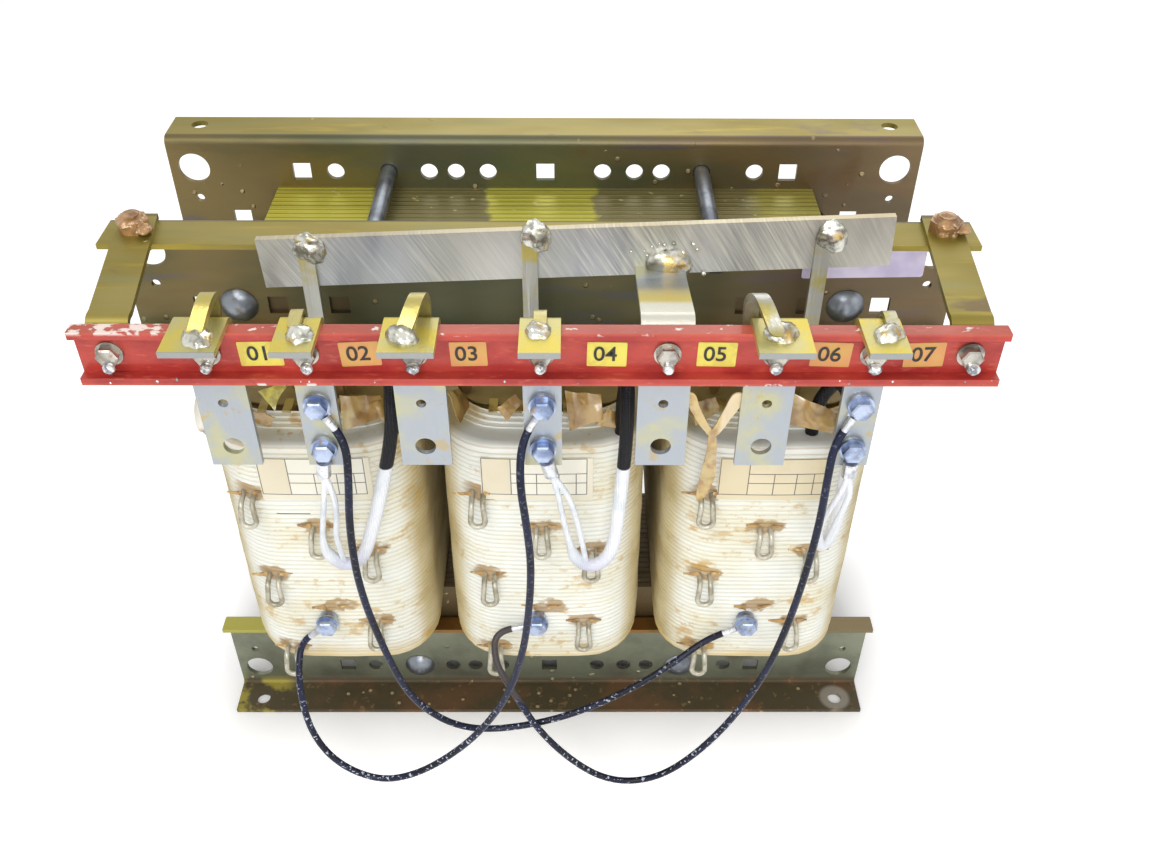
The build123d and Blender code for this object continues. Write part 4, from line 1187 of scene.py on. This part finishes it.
milky = amber_mix.noise(45.0, 3.0, shift=7.0).rise(0.56, 0.7)
amber_colour = amber_colour.painted(milky * 0.6, 216, 200, 140)
amber_film = amber_mix.shade(amber_colour, 0.18 + 0.2 * cloud, height=cloud, depth=0.0008, coat=1.0)
flaps = copies(torn_sheet("flap", 0.020, 0.017, 0.006, 0.012, 0.007, 0.0006, 0.6), "mouth_flaps", FLAPS)
face_outward(flaps)
settle(flaps, amber_film, 40.0)

lemon = Recipe("yellow_paper")
cloud = lemon.noise(160.0, 3.0)
lemon_colour = cloud.between(0.4, 0.64, (206, 194, 88), (158, 144, 56))
yellow_paper = lemon.shade(lemon_colour, 0.35 + 0.2 * cloud, height=cloud, depth=0.0005, coat=0.5)
flag = torn_sheet("yellow_flap", 0.014, 0.014, 0.003, 0.01, 0.004, 0.0005, 0.25)
place(flag, (-12, -35, 0), at=(-0.1475, -0.108, 0.3140))
settle(flag, yellow_paper, 40.0)

cream = Recipe("cream_paper")
cloud = cream.noise(70.0, 3.0)
cream_colour = cloud.between(0.4, 0.7, (246, 242, 230), (226, 214, 182))
browned = (cream.x * 0.7 - cream.z + 0.005 * cloud).rise(-0.4265, -0.4225)
cream_colour = cream_colour.painted(browned * 0.8, 150, 108, 70)
cream_paper = cream.shade(cream_colour, 0.45 + 0.15 * cloud, height=cloud, depth=0.0005)
fold = rough_ball("paper_fold", 1.2, 0.5, 0.08)
place(fold, (8, 12, 20), (0.0058, 0.0125, 0.0150), (-0.1835, -0.1035, 0.3030))
settle(fold, cream_paper, 60.0)

# %% [markdown]
# To the left of the sixth terminal a soft amber ribbon hangs in a Y: two bands from the
# rail's back join and run down on to the wrap. A band is drawn from a single edge, which
# is extruded from point to point and resized to the width there.

# %% The amber ribbon
def band(name, points, thick, crease=0.003):
    """A strip through points (x, y, z, width), widest along X."""
    strip = start("plane", name, size=1.0)
    editing(strip)
    choose("VERT", lambda c, v: c.y > 0)
    bpy.ops.mesh.delete(type="VERT")
    choose("EDGE", lambda c, e: True)
    now = Vector((0.0, -0.5, 0.0))
    wide = 1.0
    for number, (x, y, z, width) in enumerate(points):
        if number:
            bpy.ops.mesh.extrude_region_move(TRANSFORM_OT_translate={"value": Vector((x, y, z)) - now})
        else:
            bpy.ops.transform.translate(value=Vector((x, y, z)) - now)
        now = Vector((x, y, z))
        bpy.ops.transform.resize(value=(width / wide, 1.0, 1.0), center_override=now)
        wide = width
    done()
    apply_modifier(strip, "SUBSURF", levels=2, subdivision_type="CATMULL_CLARK")
    dent(strip, lumps(name + "_crease", 0.012), crease)
    apply_modifier(strip, "SOLIDIFY", thickness=thick, offset=0.0)
    return strip


BANDS = (
    ((0.0745, -0.1485, 0.352, 0.0055), (0.0765, -0.147, 0.343, 0.0055), (0.0810, -0.144, 0.332, 0.0045),
     (0.0870, -0.141, 0.320, 0.0040), (0.0890, -0.140, 0.3165, 0.0040)),
    ((0.0985, -0.1485, 0.352, 0.0075), (0.0970, -0.147, 0.342, 0.0070), (0.0935, -0.144, 0.331, 0.0060),
     (0.0900, -0.141, 0.320, 0.0045), (0.0888, -0.140, 0.3165, 0.0040)),
    ((0.0888, -0.140, 0.3190, 0.0045), (0.0895, -0.138, 0.3100, 0.0045), (0.0905, -0.132, 0.2950, 0.0060),
     (0.0915, -0.124, 0.2760, 0.0085), (0.0905, -0.119, 0.2620, 0.0075), (0.0880, -0.118, 0.2500, 0.0035)))
ribbon_mix = Recipe("amber_ribbon")
cloud = ribbon_mix.noise(130.0, 4.0, (1.0, 1.0, 0.5))
ribbon_colour = cloud.between(0.4, 0.64, (206, 178, 112), (168, 128, 62))
pale_arm = ribbon_mix.x.rise(0.0905, 0.093) * ribbon_mix.z.rise(0.316, 0.322)
ribbon_colour = ribbon_colour.painted(pale_arm * 0.7, 238, 220, 182)
amber_tape = ribbon_mix.shade(ribbon_colour, 0.22 + 0.2 * cloud, height=cloud, depth=0.0006, coat=0.8)
bands = [band(f"band_{number}", points, 0.0008) for number, points in enumerate(BANDS)]
ribbon = joined(bands, "amber_ribbon")
face_outward(ribbon)
settle(ribbon, amber_tape, 50.0)

# %% [markdown]
# The leads over the rail are hooks of flat bar: up behind the tab, over in a tight bend and
# down into the weld, each leaning its own way. The solids have them as plain arches, so
# the same bands make the hooks here: three thick ones, and three thin ones that lie flat.

# %% Hooked leads
HOOKS = (                      # thickness, width and the points' X from the root up and over
    (0.0038, 0.0072, (-0.1400, -0.1410, -0.1530, -0.1560, -0.1518, -0.1495,
                      -0.1482, -0.1485, -0.1503, -0.1523, -0.1525)),
    (0.0036, 0.0074, (-0.0440, -0.0445, -0.0530, -0.0550, -0.0531, -0.0525,
                      -0.0527, -0.0541, -0.0566, -0.0590, -0.0600)),
    (0.0036, 0.0070, (0.0980, 0.0985, 0.1020, 0.1030, 0.1005, 0.0996,
                      0.1010, 0.1032, 0.1061, 0.1085, 0.1095)))
RISE = ((-0.068, 0.289), (-0.070, 0.308), (-0.112, 0.345), (-0.138, 0.372))     # Y and Z
HIGH_ARCH = (*RISE, (-0.1440, 0.390), (-0.1455, 0.402), (-0.1505, 0.4095), (-0.1575, 0.4105),
             (-0.1630, 0.4060), (-0.1668, 0.4005), (-0.1705, 0.3990))
LOW_ARCH = (*RISE, (-0.1450, 0.388), (-0.1462, 0.396), (-0.1495, 0.4002), (-0.1570, 0.3994),
            (-0.1640, 0.3990))
FLAT_HOOKS = (-0.1100, 0.0020, 0.1630)          # X
FLAT_THICK, FLAT_WIDE = 0.0022, 0.0060
shapes = [(thick, [(x, *arch, wide) for x, arch in zip(line, HIGH_ARCH)]) for thick, wide, line in HOOKS]
shapes += [(FLAT_THICK, [(x, *arch, FLAT_WIDE) for arch in LOW_ARCH]) for x in FLAT_HOOKS]
hooks = [band(f"hook_{number}", points, thick, crease=0.0006)
         for number, (thick, points) in enumerate(shapes)]
hooked = joined(hooks, "hooked_leads")
face_outward(hooked)
settle(hooked, lead_metal, 50.0, ["wide_tab_leads", "narrow_tab_leads"])

# %% [markdown]
# The floor is a plain, flat, pale sheet. Away from the object it glows white to the camera
# and to reflections, so the background is white without more light on the object. Five soft
# lamps and a dim sky light it.

# %% Floor, lamps and sky
FLOOR_GLOW = 0.5
SKY_GLOW = 0.42
DULL_WIDE, DULL_DEEP = 0.20, 0.05      # half sizes of the floor that doesn't glow, at its middle
AIM = (0.0, -0.05, 0.2)

pale = Recipe("pale_floor")
beyond_x = (abs(pale.x) - DULL_WIDE).larger(0.0)
beyond_y = (abs(pale.y) - DULL_DEEP).larger(0.0)
open_floor = ((beyond_x ** 2 + beyond_y ** 2) ** 0.5).rise(0.0, 0.09)
mirrored = pale.node("ShaderNodeLightPath", out="Is Glossy Ray")
seen = pale.node("ShaderNodeLightPath", out="Is Camera Ray").larger(mirrored)
glow = pale.mix(seen * open_floor, (0.0, 0.0, 0.0), (1.0, 1.0, 1.0))
pale.feed(pale.shader.inputs["Emission Color"], glow)
pale.shader.inputs["Emission Strength"].default_value = FLOOR_GLOW
floor = start("plane", "floor", size=6.0, location=(0.0, 0.6, -0.0005))
floor.data.materials.append(pale.shade((0.9, 0.9, 0.9), 0.9))


def lamp(name, at, aim, width, power):
    """A square soft lamp that points at a place on the object."""
    data = bpy.data.lights.new(name, "AREA")
    data.size, data.energy = width, power
    light = bpy.data.objects.new(name, data)
    light.location = at
    light.rotation_euler = (Vector(aim) - Vector(at)).to_track_quat("-Z", "Y").to_euler()
    bpy.context.scene.collection.objects.link(light)


lamp("key", (-0.5, -0.9, 1.5), AIM, 0.7, 7.0)
lamp("flash", (0.0, -0.95, 0.80), AIM, 0.4, 4.2)
lamp("front", (0.1, -1.6, 0.35), AIM, 1.2, 3.0)
lamp("fill", (1.2, -1.1, 0.9), AIM, 1.2, 4.0)
lamp("back", (0.2, 1.4, 1.4), (0.0, 0.0, 0.3), 1.2, 7.0)

world = bpy.data.worlds.new("sky")
bpy.context.scene.world = world
world.use_nodes = True
sky = world.node_tree
background = sky.nodes["Background"]
rays = sky.nodes.new("ShaderNodeLightPath")
bright = rays.outputs["Is Camera Ray"]
for ray in ("Is Glossy Ray", "Is Transmission Ray"):
    either = sky.nodes.new("ShaderNodeMath")
    either.operation = "MAXIMUM"
    sky.links.new(bright, either.inputs[0])
    sky.links.new(rays.outputs[ray], either.inputs[1])
    bright = either.outputs[0]
strength = sky.nodes.new("ShaderNodeMapRange")
strength.inputs["To Min"].default_value = SKY_GLOW
strength.inputs["To Max"].default_value = 1.0
sky.links.new(bright, strength.inputs["Value"])
sky.links.new(strength.outputs[0], background.inputs["Strength"])
background.inputs["Color"].default_value = (1.0, 1.0, 1.0, 1.0)
bpy.context.scene.view_settings.view_transform = "Standard"
print("stage set")
